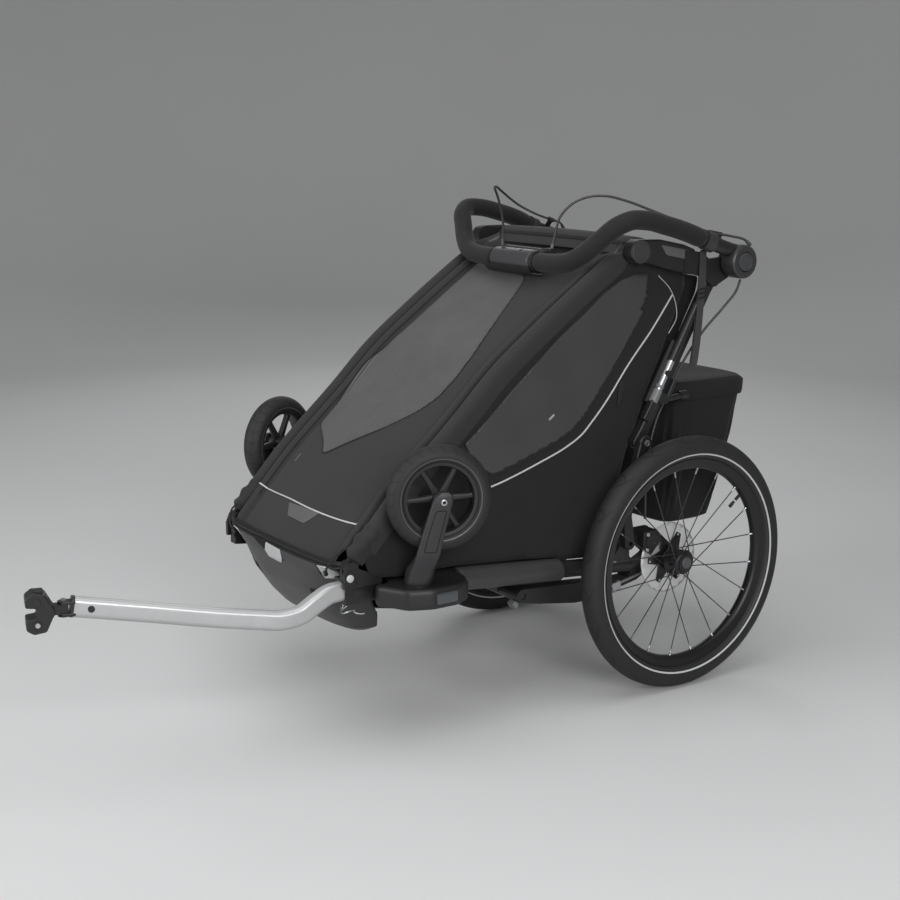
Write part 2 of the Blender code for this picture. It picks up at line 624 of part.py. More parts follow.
def rear_upright(side, sign):
    """Rear upright: the upper half of the folding brace, with a round tube clamped along its front."""
    outline = bar_outline(UPRIGHT_TOP, ELBOW, 0.0110, 0.0150, 0.0155)
    low, high = UPRIGHT_X
    upright = place(side + "_rear_upright", prism(outline, "x", sign * low, sign * high), BLACK_METAL,
                    (0.0, *UPRIGHT_TOP))
    rounded(upright, 0.002, 1)
    bore = prism(circle(UPRIGHT_TOP, 0.0056, 10), "x", sign * 0.2300, sign * 0.2520)
    combine(upright, bore, tool_name="top_bore")
    along = (Vector(UPRIGHT_TOP) - Vector(ELBOW)).normalized()
    forward = Vector((-along.y, along.x))
    x = sign * (low + high) / 2
    ends = [Vector(ELBOW) + along * share + forward * 0.0180 for share in (0.075, 0.205)]
    rod = sweep_round([Vector((x, *ends[0])), Vector((x, *ends[1]))], 0.0075, 10)
    combine(upright, rod, "UNION", "front_tube")
    return upright


def lower_strut(side, sign):
    """Lower strut: the curved lower half of the folding brace, from the elbow to the rail's lug."""
    spine = ((-0.0750, 0.4900), (-0.0930, 0.4450), (-0.1080, 0.4000), (-0.1150, 0.3500), STRUT_FOOT)
    front, rear = [], []
    for i in range(1, 4):
        ahead = (Vector(spine[i + 1]) - Vector(spine[i - 1])).normalized()
        across = Vector((-ahead.y, ahead.x)) * 0.0095
        rear.append(tuple(Vector(spine[i]) + across))
        front.append(tuple(Vector(spine[i]) - across))
    outline = arc(ELBOW, 0.0150, -10, 190, 8) + front
    outline += arc(STRUT_FOOT, 0.0125, 180, 360, 8) + rear[::-1]
    low, high = STRUT_X
    strut = place(side + "_lower_strut", prism(outline, "x", sign * low, sign * high), BLACK_METAL,
                  (0.0, *STRUT_FOOT))
    rounded(strut, 0.002, 1)
    bore = prism(circle(STRUT_FOOT, 0.0046, 10), "x", sign * 0.2500, sign * 0.2700)
    combine(strut, bore, tool_name="foot_bore")
    cap = mirrored(turned([(0.2650, 0.0080), (0.2705, 0.0080)], "x", ELBOW, 12), sign)
    return combine(strut, cap, "UNION", "elbow_cap")


def fold_latch(side, sign):
    """Fold latch: a small cam lever on the upright that locks the brace straight."""
    outline = arc(LATCH, 0.0125, 20, 290, 9) + [(LATCH[0] + 0.013, LATCH[1] - 0.012),
                                                (LATCH[0] + 0.036, LATCH[1] + 0.028),
                                                (LATCH[0] + 0.029, LATCH[1] + 0.036)]
    lever = place(side + "_fold_latch", prism(outline, "x", sign * 0.2504, sign * 0.2600), BLACK_PLASTIC,
                  (0.0, *LATCH))
    return rounded(lever, 0.0015, 1)


def bar_side():
    """Points of the push bar's left half, from the hub forward, down and in to the middle."""
    return ((0.2785, 0.1280, 0.8455), (0.2785, 0.1000, 0.8540), (0.2750, 0.0550, 0.8695),
            (0.2690, 0.0130, 0.8860), (0.2650, -0.0345, 0.9000), (0.2640, -0.0857, 0.9115),
            (0.2605, -0.1217, 0.9120),
            (0.2470, -0.1417, 0.9015), (0.2220, -0.1577, 0.8775), (0.1950, -0.1723, 0.8520),
            (0.1650, -0.1830, 0.8342), (0.1260, -0.1865, 0.8270), (0.0900, *BAR_MIDDLE))


def bar_half(sign):
    """Points of one half of the push bar, from its hub to the straight middle."""
    return [Vector((sign * x, y, z)) for x, y, z in eased(smooth_route(bar_side(), 0.020), 10.0)]


def push_bar():
    """Push bar: one bent tube between two hub drums that turn on the brackets' pins."""
    route = bar_half(1) + bar_half(-1)[::-1]
    bar = place("handlebar_tube", sweep_round(route, BAR_RADIUS, 8), BLACK_METAL, (0.0, *HUB), smooth=50)
    profile = [(0.2580, 0.0085), (0.2580, 0.0240), (0.2640, 0.0325), (0.2960, 0.0325), (0.2985, 0.0305),
               (0.2985, 0.0245), (0.2930, 0.0245), (0.2930, 0.0100), (0.2870, 0.0085)]
    for side, sign in SIDES.items():
        drum = hoop_of([(sign * x, radius) for x, radius in profile], "x", HUB, 12)
        combine(bar, drum, "UNION", side + "_drum")


def bar_fittings(side, sign):
    """Foam grip, hub cap button and brake cable of one side of the push bar."""
    route = bar_half(sign)
    first = next(i for i, point in enumerate(route) if point.y < GRIP_START)
    before, after = route[first - 1], route[first]
    start = before.lerp(after, (before.y - GRIP_START) / (before.y - after.y))
    grip = [start] + route[first:-1] + [route[-2].lerp(route[-1], 0.85)]
    foam = sleeve(grip, BAR_RADIUS + 0.0015, FOAM_RADIUS, 8)
    place(side + "_foam_grip", foam, FOAM, (0.0, *HUB), smooth=50)
    steps = [(0.2960, 0.0236), (0.3000, 0.0236), (0.3012, 0.0215)]
    cap = mirrored(turned(steps, "x", HUB, 20), sign)
    place(side + "_hub_button", cap, GREY_CAP, (sign * 0.2960, *HUB), smooth=40)


def lever_cables():
    """Brake cables over the push bar: each rises from the housing in a bow and dives into a hub."""
    left = ((0.0990, -0.1780, 0.8510), (0.1010, -0.1730, 0.8730), (0.1070, -0.1640, 0.9130),
            (0.1190, -0.1420, 0.9390), (0.1350, -0.1140, 0.9510), (0.1490, -0.0890, 0.9520),
            (0.1680, -0.0550, 0.9430), (0.1920, -0.0120, 0.9250), (0.2160, 0.0310, 0.9060),
            (0.2400, 0.0740, 0.8880), (0.2540, 0.0980, 0.8800), (0.2700, 0.1280, 0.8740),
            (0.2840, 0.1520, 0.8660), (0.2880, 0.1610, 0.8570))
    right = ((-0.0750, -0.1820, 0.8510), (-0.0640, -0.1830, 0.8990), (-0.0500, -0.1990, 0.9440),
             (-0.0420, -0.2100, 0.9650), (-0.0500, -0.2000, 0.9650), (-0.0630, -0.1810, 0.9580),
             (-0.0900, -0.1420, 0.9430), (-0.1210, -0.0990, 0.9280), (-0.1840, -0.0130, 0.9050),
             (-0.2320, 0.0540, 0.8900), (-0.2540, 0.0980, 0.8800), (-0.2700, 0.1280, 0.8740),
             (-0.2840, 0.1520, 0.8660), (-0.2880, 0.1610, 0.8570))
    for side, points in (("left", left), ("right", right)):
        tube(side + "_lever_cable", smooth_route(points, 3 * CABLE), CABLE / 2, RUBBER, (0.0, *HUB))


def frame_cable(side, sign):
    """Brake cable from under the bar hub down the back of the upright to the brake on the axle."""
    points = ((0.2760, 0.1500, 0.7900), (0.2740, 0.1430, 0.7700), (0.2660, 0.1180, 0.7380),
              (0.2540, 0.0800, 0.6950), (0.2440, 0.0420, 0.6420), (0.2410, 0.0050, 0.5800),
              (0.2410, -0.0270, 0.5250), (0.2430, -0.0450, 0.4700), (0.2460, -0.0540, 0.4100),
              (0.2480, -0.0560, 0.3600), (0.2490, -0.0560, 0.3340))
    route = smooth_route([(sign * x, y, z) for x, y, z in points], 3 * CABLE)
    tube(side + "_frame_cable", route, CABLE / 2, RUBBER)


def brake_control():
    """Brake housing on the middle of the push bar and the lever that wraps its lower front."""
    steps = [(-0.0850, 0.0142), (-0.0850, 0.0205), (-0.0800, 0.0218), (0.0800, 0.0218), (0.0850, 0.0205),
             (0.0850, 0.0142)]
    barrel = hoop_of(steps, "x", BAR_MIDDLE, 18)
    housing = place("brake_lever_housing", barrel, BLACK_PLASTIC, (0.0, *HUB), smooth=40)
    y, z = BAR_MIDDLE
    brow = [(y + 0.014, z + 0.0140), (y + 0.030, z + 0.0145), (y + 0.034, z + 0.0190),
            (y + 0.026, z + 0.0240), (y + 0.004, z + 0.0235), (y + 0.004, z + 0.0170)]
    combine(housing, prism(brow, "x", -0.078, 0.078), "UNION", "brow")
    curl = arc(BAR_MIDDLE, 0.0285, 290, 205, 7) + arc(BAR_MIDDLE, 0.0258, 205, 290, 7)
    place("brake_lever", prism(curl, "x", -0.072, 0.072), BLACK_PLASTIC, (0.0, *LEVER_PIVOT))


def wrist_strap():
    """Wrist strap beside the left bracket: two layers of webbing joined at the bottom."""
    inner, outer = (0.2580, 0.2594), (0.2606, 0.2620)
    top, fold, bottom = 0.800, 0.6215, 0.619
    outline = [(inner[0], top), (inner[0], bottom), (outer[1], bottom), (outer[1], top),
               (outer[0], top), (outer[0], fold), (inner[1], fold), (inner[1], top)]
    rings = []
    for edge in (-0.008, 0.008):
        rings.append([(x, mix(0.050, 0.064, (z - bottom) / (top - bottom)) + edge, z) for x, z in outline])
    place("wrist_strap", loft(rings), FABRIC)


def cargo_bag():
    """Cargo bag: a tapering cloth bag behind the cabin with a wide stiff rim and a flap over its mouth."""
    rows = ((0.2800, 0.1400, 0.0950, 0.2060), (0.2860, 0.1500, 0.0900, 0.2210),
            (0.4350, 0.1650, 0.0860, 0.2620), (0.5400, 0.1720, 0.0800, 0.2860),
            (0.5450, 0.1760, 0.0760, 0.2940), (0.5690, 0.1760, 0.0740, 0.2960),
            (0.5770, 0.1660, 0.0820, 0.2840))
    rings = []
    for z, half, front, rear in rows:
        corners = rounded_rectangle(2 * half, rear - front, 0.030)
        rings.append([(x, y + (front + rear) / 2, z) for x, y in corners])
    place("cargo_bag", loft(rings), FABRIC, smooth=40)


def suspension_arm(side, sign):
    """Suspension arm: a trailing wedge from the cross beam to the axle stub, with the brake caliper on it."""
    outline = arc(ARM_PIVOT, 0.0140, 95, 235, 7)
    outline += [(-0.2980, 0.2010), (-0.2150, 0.1880), (-0.1750, 0.1880), (-0.1500, 0.1910), (-0.0600, 0.2080)]
    outline += arc((0.0, WHEEL_RADIUS), 0.0210, -125, 120, 10)
    outline += [(-0.0300, 0.2520), (-0.0700, 0.2330), (-0.0830, 0.2165), (-0.1100, 0.2165), (-0.2000, 0.2255)]
    wedge = prism(outline, "x", sign * 0.2010, sign * 0.2320)
    arm = place(side + "_suspension_arm", wedge, BLACK_METAL, (0.0, *ARM_PIVOT))
    bore = prism(circle(ARM_PIVOT, 0.0066, 12), "x", sign * 0.1980, sign * 0.2340)
    combine(arm, bore, tool_name="pivot_bore")
    steps = [(0.2200, 0.0150), (0.2440, 0.0150), (0.2500, 0.0080), (0.2990, 0.0080)]
    stub = mirrored(turned(steps, "x", (0.0, WHEEL_RADIUS), 14), sign)
    combine(arm, stub, "UNION", "axle_stub")
    plate = [(-0.0100, 0.2600), (-0.0250, 0.2450), (-0.0800, 0.2900), (-0.0800, 0.3160), (-0.0400, 0.3160)]
    combine(arm, prism(plate, "x", sign * 0.2300, sign * 0.2400), "UNION", "caliper_bracket")
    body = [(-0.0780, 0.2860), (-0.0560, 0.2680), (-0.0300, 0.2940), (-0.0420, 0.3150), (-0.0780, 0.3150)]
    combine(arm, prism(body, "x", sign * 0.2390, sign * 0.2700), "UNION", "caliper")
    gap = [(-0.1000, 0.2500), (0.0, 0.2500), (0.0, 0.3300), (-0.0500, 0.3100), (-0.0720, 0.3050),
           (-0.1000, 0.3000)]
    return combine(arm, prism(gap, "x", sign * 0.2528, sign * 0.2582), tool_name="rotor_gap")


def rear_wheel(side, sign):
    """Rear wheel: tyre, spoked rim and hub, drilled brake rotor and the push-button axle."""
    centre = (0.0, WHEEL_RADIUS)
    middle = sign * TRACK / 2
    half = ((0.0115, 0.2050), (0.0235, 0.2225), (0.0185, 0.2430))
    tread = [(-a, r) for a, r in half] + [(0.0, WHEEL_RADIUS)] + [(a, r) for a, r in reversed(half)]
    place(side + "_rear_tyre", hoop_of([(middle + a, r) for a, r in tread], "x", centre, 36), RUBBER,
          (middle, *centre), smooth=40)
    rim_profile = [(-0.012, 0.2043), (-0.011, 0.1900), (0.0, 0.1865), (0.011, 0.1900), (0.012, 0.2043)]
    hub_profile = [(0.2588, 0.0165), (0.2660, 0.0240), (0.2695, 0.0240), (0.2720, 0.0165), (0.2985, 0.0165),
                   (0.3000, 0.0240), (0.3035, 0.0240), (0.3090, 0.0185), (0.3090, 0.0125), (0.3000, 0.0125),
                   (0.3000, 0.0086), (0.2588, 0.0086)]
    wheel = hoop_of([(middle + a, r) for a, r in rim_profile], "x", centre, 36)
    join_mesh(wheel, hoop_of([(sign * a, r) for a, r in hub_profile], "x", centre, 10))
    rim = place(side + "_rear_rim", wheel, BLACK_METAL, (middle, *centre), smooth=35)
    for lean in (1, -1):
        combine(rim, spokes(sign, lean), "UNION", "leading" if lean > 0 else "trailing")
    plate = [(0.2545, 0.0105), (0.2565, 0.0105), (0.2565, 0.0700), (0.2545, 0.0700)]
    disc = hoop_of([(sign * a, r) for a, r in plate], "x", centre, 24)
    rotor = place(side + "_brake_rotor", disc, SILVER, (middle, *centre))
    for i in range(6):
        first = 60 * i + 8
        window = arc(centre, 0.0520, first, first + 44, 2) + arc(centre, 0.0240, first + 34, first + 10, 1)
        combine(rotor, prism(window, "x", sign * 0.2500, sign * 0.2600), tool_name="window_" + str(i))
    holes = bmesh.new()
    for i in range(10):
        turn = math.radians(36 * i + 10)
        spot = (0.061 * math.cos(turn), WHEEL_RADIUS + 0.061 * math.sin(turn))
        join_mesh(holes, prism(circle(spot, 0.0032, 4), "x", sign * 0.2500, sign * 0.2600))
    combine(rotor, holes, tool_name="drillings")
    steps = [(0.3045, 0.0118), (0.3110, 0.0118), (0.3125, 0.0100)]
    place(side + "_axle_button", mirrored(turned(steps, "x", centre, 14), sign), GREY_CAP,
          (sign * 0.3045, *centre), smooth=40)


def join_mesh(target, source):
    """Adds a bmesh's faces to another and frees it."""
    copies = {vert: target.verts.new(vert.co) for vert in source.verts}
    for face in source.faces:
        target.faces.new([copies[vert] for vert in face.verts])
    source.free()


def spokes(sign, lean):
    """Ten crossed spokes that lean one way, five from each hub flange, as three-sided bars."""
    bars = bmesh.new()
    for i in range(5):
        for flange, x in enumerate((0.26775, 0.30175)):
            rim_turn = math.radians(72 * i + 36 * flange + (9 if lean > 0 else -9))
            hub_turn = rim_turn + lean * math.radians(58)
            ends = []
            nipple = 0.2999 + lean * 0.0011
            for out, radius, turn in ((x + lean * 0.0009, 0.0205, hub_turn), (nipple, 0.1885, rim_turn)):
                y, z = radius * math.cos(turn), WHEEL_RADIUS + radius * math.sin(turn)
                ends.append(Vector((sign * out, y, z)))
            join_mesh(bars, sweep_round(ends, 0.0015, 3))
    return bars


def caster_space(bm, sign):
    """Turns a bmesh from the stowed wheel's own frame (x out, y back) into axle coordinates."""
    turn = Matrix.Translation((*STEM, 0.0)) @ Matrix.Rotation(-CASTER_TOE, 4, "Z")
    bmesh.ops.transform(bm, matrix=turn, verts=bm.verts)
    return mirrored(bm, sign)


def caster(side, sign):
    """Stroller wheel stowed upright in the dock: one-sided fork, spoked wheel and tyre."""
    axle = (CASTER_TRAIL, CASTER_AXLE_Z)
    centre = Matrix.Rotation(-CASTER_TOE, 4, "Z") @ Vector((0.0, CASTER_TRAIL, 0.0))
    hub = (sign * (STEM[0] + centre.x), STEM[1] + centre.y, CASTER_AXLE_Z)
    half = ((0.0140, 0.0664), (0.0200, 0.0740), (0.0165, 0.0885))
    tread = [(-a, r) for a, r in half] + [(0.0, CASTER_RADIUS)] + [(a, r) for a, r in reversed(half)]
    place(side + "_caster_tyre", caster_space(hoop_of(tread, "x", axle, 24), sign), RUBBER, hub, smooth=40)
    ring = hoop_of([(-0.0140, 0.0660), (-0.0140, 0.0600), (0.0140, 0.0600), (0.0140, 0.0660)], "x", axle, 24)
    core = [(-0.0150, 0.0056), (-0.0150, 0.0140), (0.0150, 0.0140), (0.0150, 0.0056)]
    join_mesh(ring, hoop_of(core, "x", axle, 12))
    wheel = place(side + "_caster_wheel", caster_space(ring, sign), BLACK_PLASTIC, hub, smooth=35)
    arms = bmesh.new()
    for i in range(6):
        turn = math.radians(60 * i + 15)
        out = Vector((math.cos(turn), math.sin(turn)))
        wide = Vector((-out.y, out.x))
        base, tip = Vector(axle) + out * 0.0120, Vector(axle) + out * 0.0620
        arm = [tuple(base + wide * 0.0050), tuple(tip + wide * 0.0036), tuple(tip - wide * 0.0036),
               tuple(base - wide * 0.0050)]
        join_mesh(arms, prism(arm, "x", -0.0060, 0.0060))
    combine(wheel, caster_space(arms, sign), "UNION", "spokes")
    shapes = ((0.3030, 0.000, 0.0000, 0.0450, 0.0450, 0.0200),
              (0.3080, 0.000, 0.0000, 0.0480, 0.0480, 0.0200),
              (0.3300, 0.003, 0.0050, 0.0470, 0.0450, 0.0160),
              (0.3480, 0.007, 0.0200, 0.0420, 0.0240, 0.0070),
              (0.3620, 0.011, 0.0285, 0.0360, 0.0125, 0.0040),
              (0.4000, 0.021, 0.0288, 0.0310, 0.0115, 0.0040),
              (0.4550, 0.037, 0.0288, 0.0300, 0.0115, 0.0040),
              (0.4690, 0.040, 0.0285, 0.0200, 0.0090, 0.0030))
    rings = []
    for z, back, out, length, width, corner in shapes:
        rings.append([(out + a, back + b, z) for a, b in rounded_rectangle(width, length, corner)])
    fork = place(side + "_caster_fork", caster_space(loft(rings), sign), BLACK_PLASTIC,
                 (sign * STEM[0], STEM[1], DOCK_TOP), smooth=50)
    stem = turned([(0.2750, 0.0090), (0.3060, 0.0090)], "z", (0.0, 0.0), 12)
    combine(fork, caster_space(stem, sign), "UNION", "stem")
    pin = turned([(-0.0130, 0.0050), (0.0300, 0.0050), (0.0300, 0.0080), (0.0372, 0.0080)], "x", axle, 12)
    combine(fork, caster_space(pin, sign), "UNION", "axle_bolt")
    recess = [(0.0060, 0.3700), (0.0200, 0.3680), (0.0380, 0.4360), (0.0240, 0.4400)]
    return combine(fork, caster_space(prism(recess, "x", 0.0332, 0.0400), sign), tool_name="panel")


clear_scene()
AXLE = bpy.data.objects.new("axle_frame", None)
bpy.context.scene.collection.objects.link(AXLE)
AXLE.location = (0.0, AXLE_Y, 0.0)

for side_name, side_sign in SIDES.items():
    rail(side_name, side_sign)
    dock(side_name, side_sign)
    side_panel(side_name, side_sign)
    top_bracket(side_name, side_sign)
    rear_upright(side_name, side_sign)
    lower_strut(side_name, side_sign)
    fold_latch(side_name, side_sign)
    bar_fittings(side_name, side_sign)
    frame_cable(side_name, side_sign)
    suspension_arm(side_name, side_sign)
    rear_wheel(side_name, side_sign)
    caster(side_name, side_sign)
nose()
floor_pan()
cross_beams()
brake_pedal()
cushion("seat_base", ((-0.425, 0.338), (-0.300, 0.337), (-0.180, 0.337)), 0.180, 0.0175, 3)
cushion("seat_back", ((-0.188, 0.352), (-0.146, 0.450), (-0.103, 0.560), (-0.054, 0.680), (-0.024, 0.755)),
        0.185, 0.0200, 5)
tow_receiver()
release_button()
tow_arm()
hitch()
hoop()
front_cover()
roof_panel()
rear_panel()
cross_tube()
push_bar()
lever_cables()
brake_control()
wrist_strap()
cargo_bag()
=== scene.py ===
"""Looks of a child bicycle trailer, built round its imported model.

Lengths are metres. Shapes are written from the floor point under the middle of the wheel axle, and the function
that makes a piece carries them to their place.
"""

import bmesh
import bpy
import numpy as np
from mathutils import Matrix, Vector, geometry


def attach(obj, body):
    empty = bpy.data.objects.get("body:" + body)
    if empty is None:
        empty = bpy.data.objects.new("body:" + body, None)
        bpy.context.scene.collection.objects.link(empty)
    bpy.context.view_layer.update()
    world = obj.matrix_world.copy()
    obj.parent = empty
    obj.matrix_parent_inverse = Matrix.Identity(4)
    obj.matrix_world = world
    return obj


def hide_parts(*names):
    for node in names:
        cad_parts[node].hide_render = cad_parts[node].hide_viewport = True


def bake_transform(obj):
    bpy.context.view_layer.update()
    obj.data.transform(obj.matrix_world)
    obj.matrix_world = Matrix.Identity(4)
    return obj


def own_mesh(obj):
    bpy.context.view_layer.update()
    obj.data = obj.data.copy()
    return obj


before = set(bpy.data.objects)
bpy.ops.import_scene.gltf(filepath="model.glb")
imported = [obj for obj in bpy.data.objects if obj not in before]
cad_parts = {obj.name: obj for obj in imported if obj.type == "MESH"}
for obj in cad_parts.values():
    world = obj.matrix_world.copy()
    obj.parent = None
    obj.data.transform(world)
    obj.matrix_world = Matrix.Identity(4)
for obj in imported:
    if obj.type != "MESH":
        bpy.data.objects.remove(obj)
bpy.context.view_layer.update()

# Camera and studio
# A pale round cove runs up into its own wall, so that every side has the same plain backdrop. One broad lamp hangs
# over the trailer, one stands beside the camera and a weak one lifts the far side.
AXLE_Y = 0.4713
DOWN, HEADING = 11.98, 55.34
FOCAL_PIXELS, PHOTO_PIXELS, SENSOR = 1569.6, 900.0, 36.0

eye = bpy.data.objects.new("camera", bpy.data.cameras.new("camera"))
bpy.context.scene.collection.objects.link(eye)
eye.location = (2.467, AXLE_Y - 2.051, 1.099)
eye.rotation_euler = np.radians((90.0 - DOWN, 0.0, HEADING))
eye.data.sensor_width = SENSOR
eye.data.lens = SENSOR * FOCAL_PIXELS / PHOTO_PIXELS
bpy.context.scene.camera = eye
bpy.context.scene.view_settings.view_transform = "Standard"


def lamp(name, place, aim, size, power):
    """A square softbox at a place, turned to face a point."""
    light = bpy.data.lights.new(name, "AREA")
    light.size = size
    light.energy = power
    thing = bpy.data.objects.new(name, light)
    bpy.context.scene.collection.objects.link(thing)
    thing.location = place
    thing.rotation_euler = (Vector(aim) - Vector(place)).to_track_quat("-Z", "Y").to_euler()


lamp("overhead", (0.6, -0.6, 3.6), (0.0, 0.0, 0.3), 3.2, 40.0)
lamp("beside_camera", (3.4, -1.2, 1.7), (0.0, 0.0, 0.4), 1.8, 66.0)
lamp("front", (-0.6, -3.8, 1.7), (0.0, -0.2, 0.4), 1.8, 56.0)
lamp("far_side", (-3.2, 2.2, 2.4), (0.0, 0.3, 0.4), 2.0, 20.0)
world = bpy.data.worlds.new("studio")
bpy.context.scene.world = world
world.use_nodes = True
sky = world.node_tree.nodes["Background"].inputs
sky["Color"].default_value = (0.86, 0.87, 0.88, 1.0)
sky["Strength"].default_value = 0.24


class Wire:
    """One output of a node. Arithmetic on wires and numbers adds Math nodes to the material."""

    def __init__(self, tree, socket=None):
        self.tree = tree
        self.socket = socket

    def add(self, kind, settings=None, inputs=None, output=0):
        """Adds a node of a type, sets it up, gives its inputs their values or wires, and returns one output."""
        node = self.tree.nodes.new("ShaderNode" + kind)
        for name, value in (settings or {}).items():
            setattr(node, name, value)
        for name, value in (inputs or {}).items():
            if isinstance(value, Wire):
                self.tree.links.new(value.socket, node.inputs[name])
            else:
                node.inputs[name].default_value = value
        return Wire(self.tree, node.outputs[output])

    def maths(self, operation, *values):
        """The outcome of a Math node, whose inputs are the values in their order."""
        return self.add("Math", {"operation": operation}, dict(enumerate(values)))

    def __add__(self, other):
        return self.maths("ADD", self, other)

    def __radd__(self, other):
        return self.maths("ADD", other, self)

    def __sub__(self, other):
        return self.maths("SUBTRACT", self, other)

    def __rsub__(self, other):
        return self.maths("SUBTRACT", other, self)

    def __mul__(self, other):
        return self.maths("MULTIPLY", self, other)

    def __rmul__(self, other):
        return self.maths("MULTIPLY", other, self)

    def __mod__(self, other):
        return self.maths("FLOORED_MODULO", self, other)

    def __lt__(self, other):
        return self.maths("LESS_THAN", self, other)

    def __gt__(self, other):
        return self.maths("GREATER_THAN", self, other)

    def __abs__(self):
        return self.maths("ABSOLUTE", self)

    def wave(self, pitch):
        """A sine of this length: sin(2 pi length / pitch), with the pitch in metres."""
        turned = self * (2.0 * np.pi / pitch)
        return turned.maths("SINE", turned)

    def spot(self):
        """The place of the point in its object, in metres."""
        return self.add("TexCoord", output=3)

    def part(self, k):
        """One of the three numbers of a vector."""
        return self.add("SeparateXYZ", None, {0: self}, k)

    def shades(self, dark, light):
        """A colour that runs from dark at 0 to light at 1. Both are colours or wires."""
        dark, light = (shade if isinstance(shade, Wire) else (*shade, 1.0) for shade in (dark, light))
        return self.add("Mix", {"data_type": "RGBA"}, {0: self, 6: dark, 7: light}, 2)


def finish(name, roughness=0.5, **values):
    """A new material, its shader node and a wire to start its node tree from."""
    material = bpy.data.materials.new(name)
    material.use_nodes = True
    shader = material.node_tree.nodes["Principled BSDF"]
    shader.inputs["Roughness"].default_value = roughness
    for socket, value in values.items():
        shader.inputs[socket.replace("_", " ")].default_value = value
    return material, shader, Wire(material.node_tree)


def feed(shader, wire, socket):
    """Leads a wire into a socket of the shader."""
    wire.tree.links.new(wire.socket, shader.inputs[socket])


def emboss(shader, height, depth):
    """Raises the surface by a depth in metres where the height wire is 1."""
    feed(shader, height.add("Bump", None, {"Height": height, "Distance": depth, "Strength": 1.0}), "Normal")


def speckle(wire, vector, size, detail=2.0):
    """A soft random pattern whose blots are about one size across, in metres."""
    return wire.add("TexNoise", None, {"Vector": vector, "Scale": 1.0 / size, "Detail": detail, "Roughness": 0.55})


# The floor is pale to the camera, and darker to the light that it sends back up at the trailer.
floor_paint, shader, start = finish("floor_paint", 0.75)
blot = speckle(start, start.spot(), 0.7)
seen = start.add("LightPath") + start.add("LightPath", output=3) + start.add("LightPath", output=6)
pale, dim = blot.shades((0.84, 0.845, 0.85), (0.88, 0.885, 0.89)), blot.shades((0.2, 0.2, 0.2), (0.24, 0.24, 0.24))
feed(shader, seen.shades(dim, pale), "Base Color")


def shell(grid, around=False, along=False, capped=False, chart=None, facing=None):
    """A skin over points laid out as (rows, columns, 3): its points, its faces and its corners' pattern coordinates.

    Every point is joined to the next in its row and its column. around joins the ends of each row, along joins the
    last row to the first, and capped closes both end rows. A closed skin is turned to face outwards, an open one to
    face a direction. The pattern coordinates are the mean distances travelled along a row and along a column, in
    metres, or those of a chart with two numbers for each point.
    """
    rows, columns = grid.shape[:2]
    i, j = np.meshgrid(np.arange(rows - (not along)), np.arange(columns - (not around)), indexing="ij")
    i = np.stack([i, i, i + 1, i + 1], -1).reshape(-1, 4)
    j = np.stack([j, j + 1, j + 1, j], -1).reshape(-1, 4)
    step_across = np.linalg.norm(np.roll(grid, -1, 1) - grid, axis=2).mean(0)
    step_down = np.linalg.norm(np.roll(grid, -1, 0) - grid, axis=2).mean(1)
    across = np.concatenate([[0.0], np.cumsum(step_across)])
    down = np.concatenate([[0.0], np.cumsum(step_down)])
    points = grid.reshape(-1, 3)
    faces = (i % rows) * columns + j % columns
    pattern = np.stack([across[j], down[i]], -1) if chart is None else chart[i % rows, j % columns]
    order = slice(None)
    if around and (along or capped):
        a, b, c, d = (points[faces[:, k]] for k in range(4))
        volume = (np.cross(a, b) * c + np.cross(a, c) * d).sum()
        order = slice(None, None, -1) if volume < 0 else order
    if facing is not None:
        a, b, c, d = (points[faces[:, k]] for k in range(4))
        order = slice(None, None, -1) if (np.cross(c - a, d - b).sum(0) @ np.array(facing)) < 0 else order
    faces, pattern = faces[:, order], pattern[:, order]
    lids = []
    if capped:
        ends = np.stack([np.arange(columns)[::-1], np.arange(columns) + (rows - 1) * columns])
        lids = ends[:, order].tolist()
    return points, faces.tolist(), pattern.reshape(-1, 2), lids


def piece(name, shells, paint, body=None, crease=35.0, at_axle=True):
    """One object from one or more skins, with its pattern coordinates, its paint and the body it moves with."""
    points, faces, pattern, start = [], [], [], 0
    for skin_points, skin_faces, skin_pattern, lids in shells:
        points.append(skin_points)
        faces += (np.array(skin_faces) + start).tolist() + [(np.array(lid) + start).tolist() for lid in lids]
        pattern += [skin_pattern] + [np.zeros((len(lid), 2)) for lid in lids]
        start += len(skin_points)
    points = np.concatenate(points) + (np.array((0.0, AXLE_Y, 0.0)) if at_axle else 0.0)
    mesh = bpy.data.meshes.new(name)
    mesh.from_pydata(points.tolist(), [], faces)
    mesh.uv_layers.new(name="pattern").data.foreach_set("uv", np.concatenate(pattern).ravel())
    mesh.shade_smooth()
    mesh.set_sharp_from_angle(angle=np.radians(crease))
    mesh.materials.append(paint)
    thing = bpy.data.objects.new(name, mesh)
    bpy.context.scene.collection.objects.link(thing)
    if body:
        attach(thing, body)
    return thing


turn = np.linspace(0.0, 2.0 * np.pi, 97)[:-1]
reach = np.concatenate([np.linspace(0.0002, 4.2, 12), 4.2 + 2.2 * np.sin(np.linspace(0.1, np.pi / 2, 12)), [6.4]])
rise = np.concatenate([np.zeros(12), 2.2 - 2.2 * np.cos(np.linspace(0.1, np.pi / 2, 12)), [7.0]])
cove = np.stack([np.outer(reach, np.cos(turn)), np.outer(reach, np.sin(turn)), np.outer(rise, np.ones(96))], -1)
floor = piece("floor", [shell(cove, around=True)], floor_paint, at_axle=False)
floor.data.flip_normals()


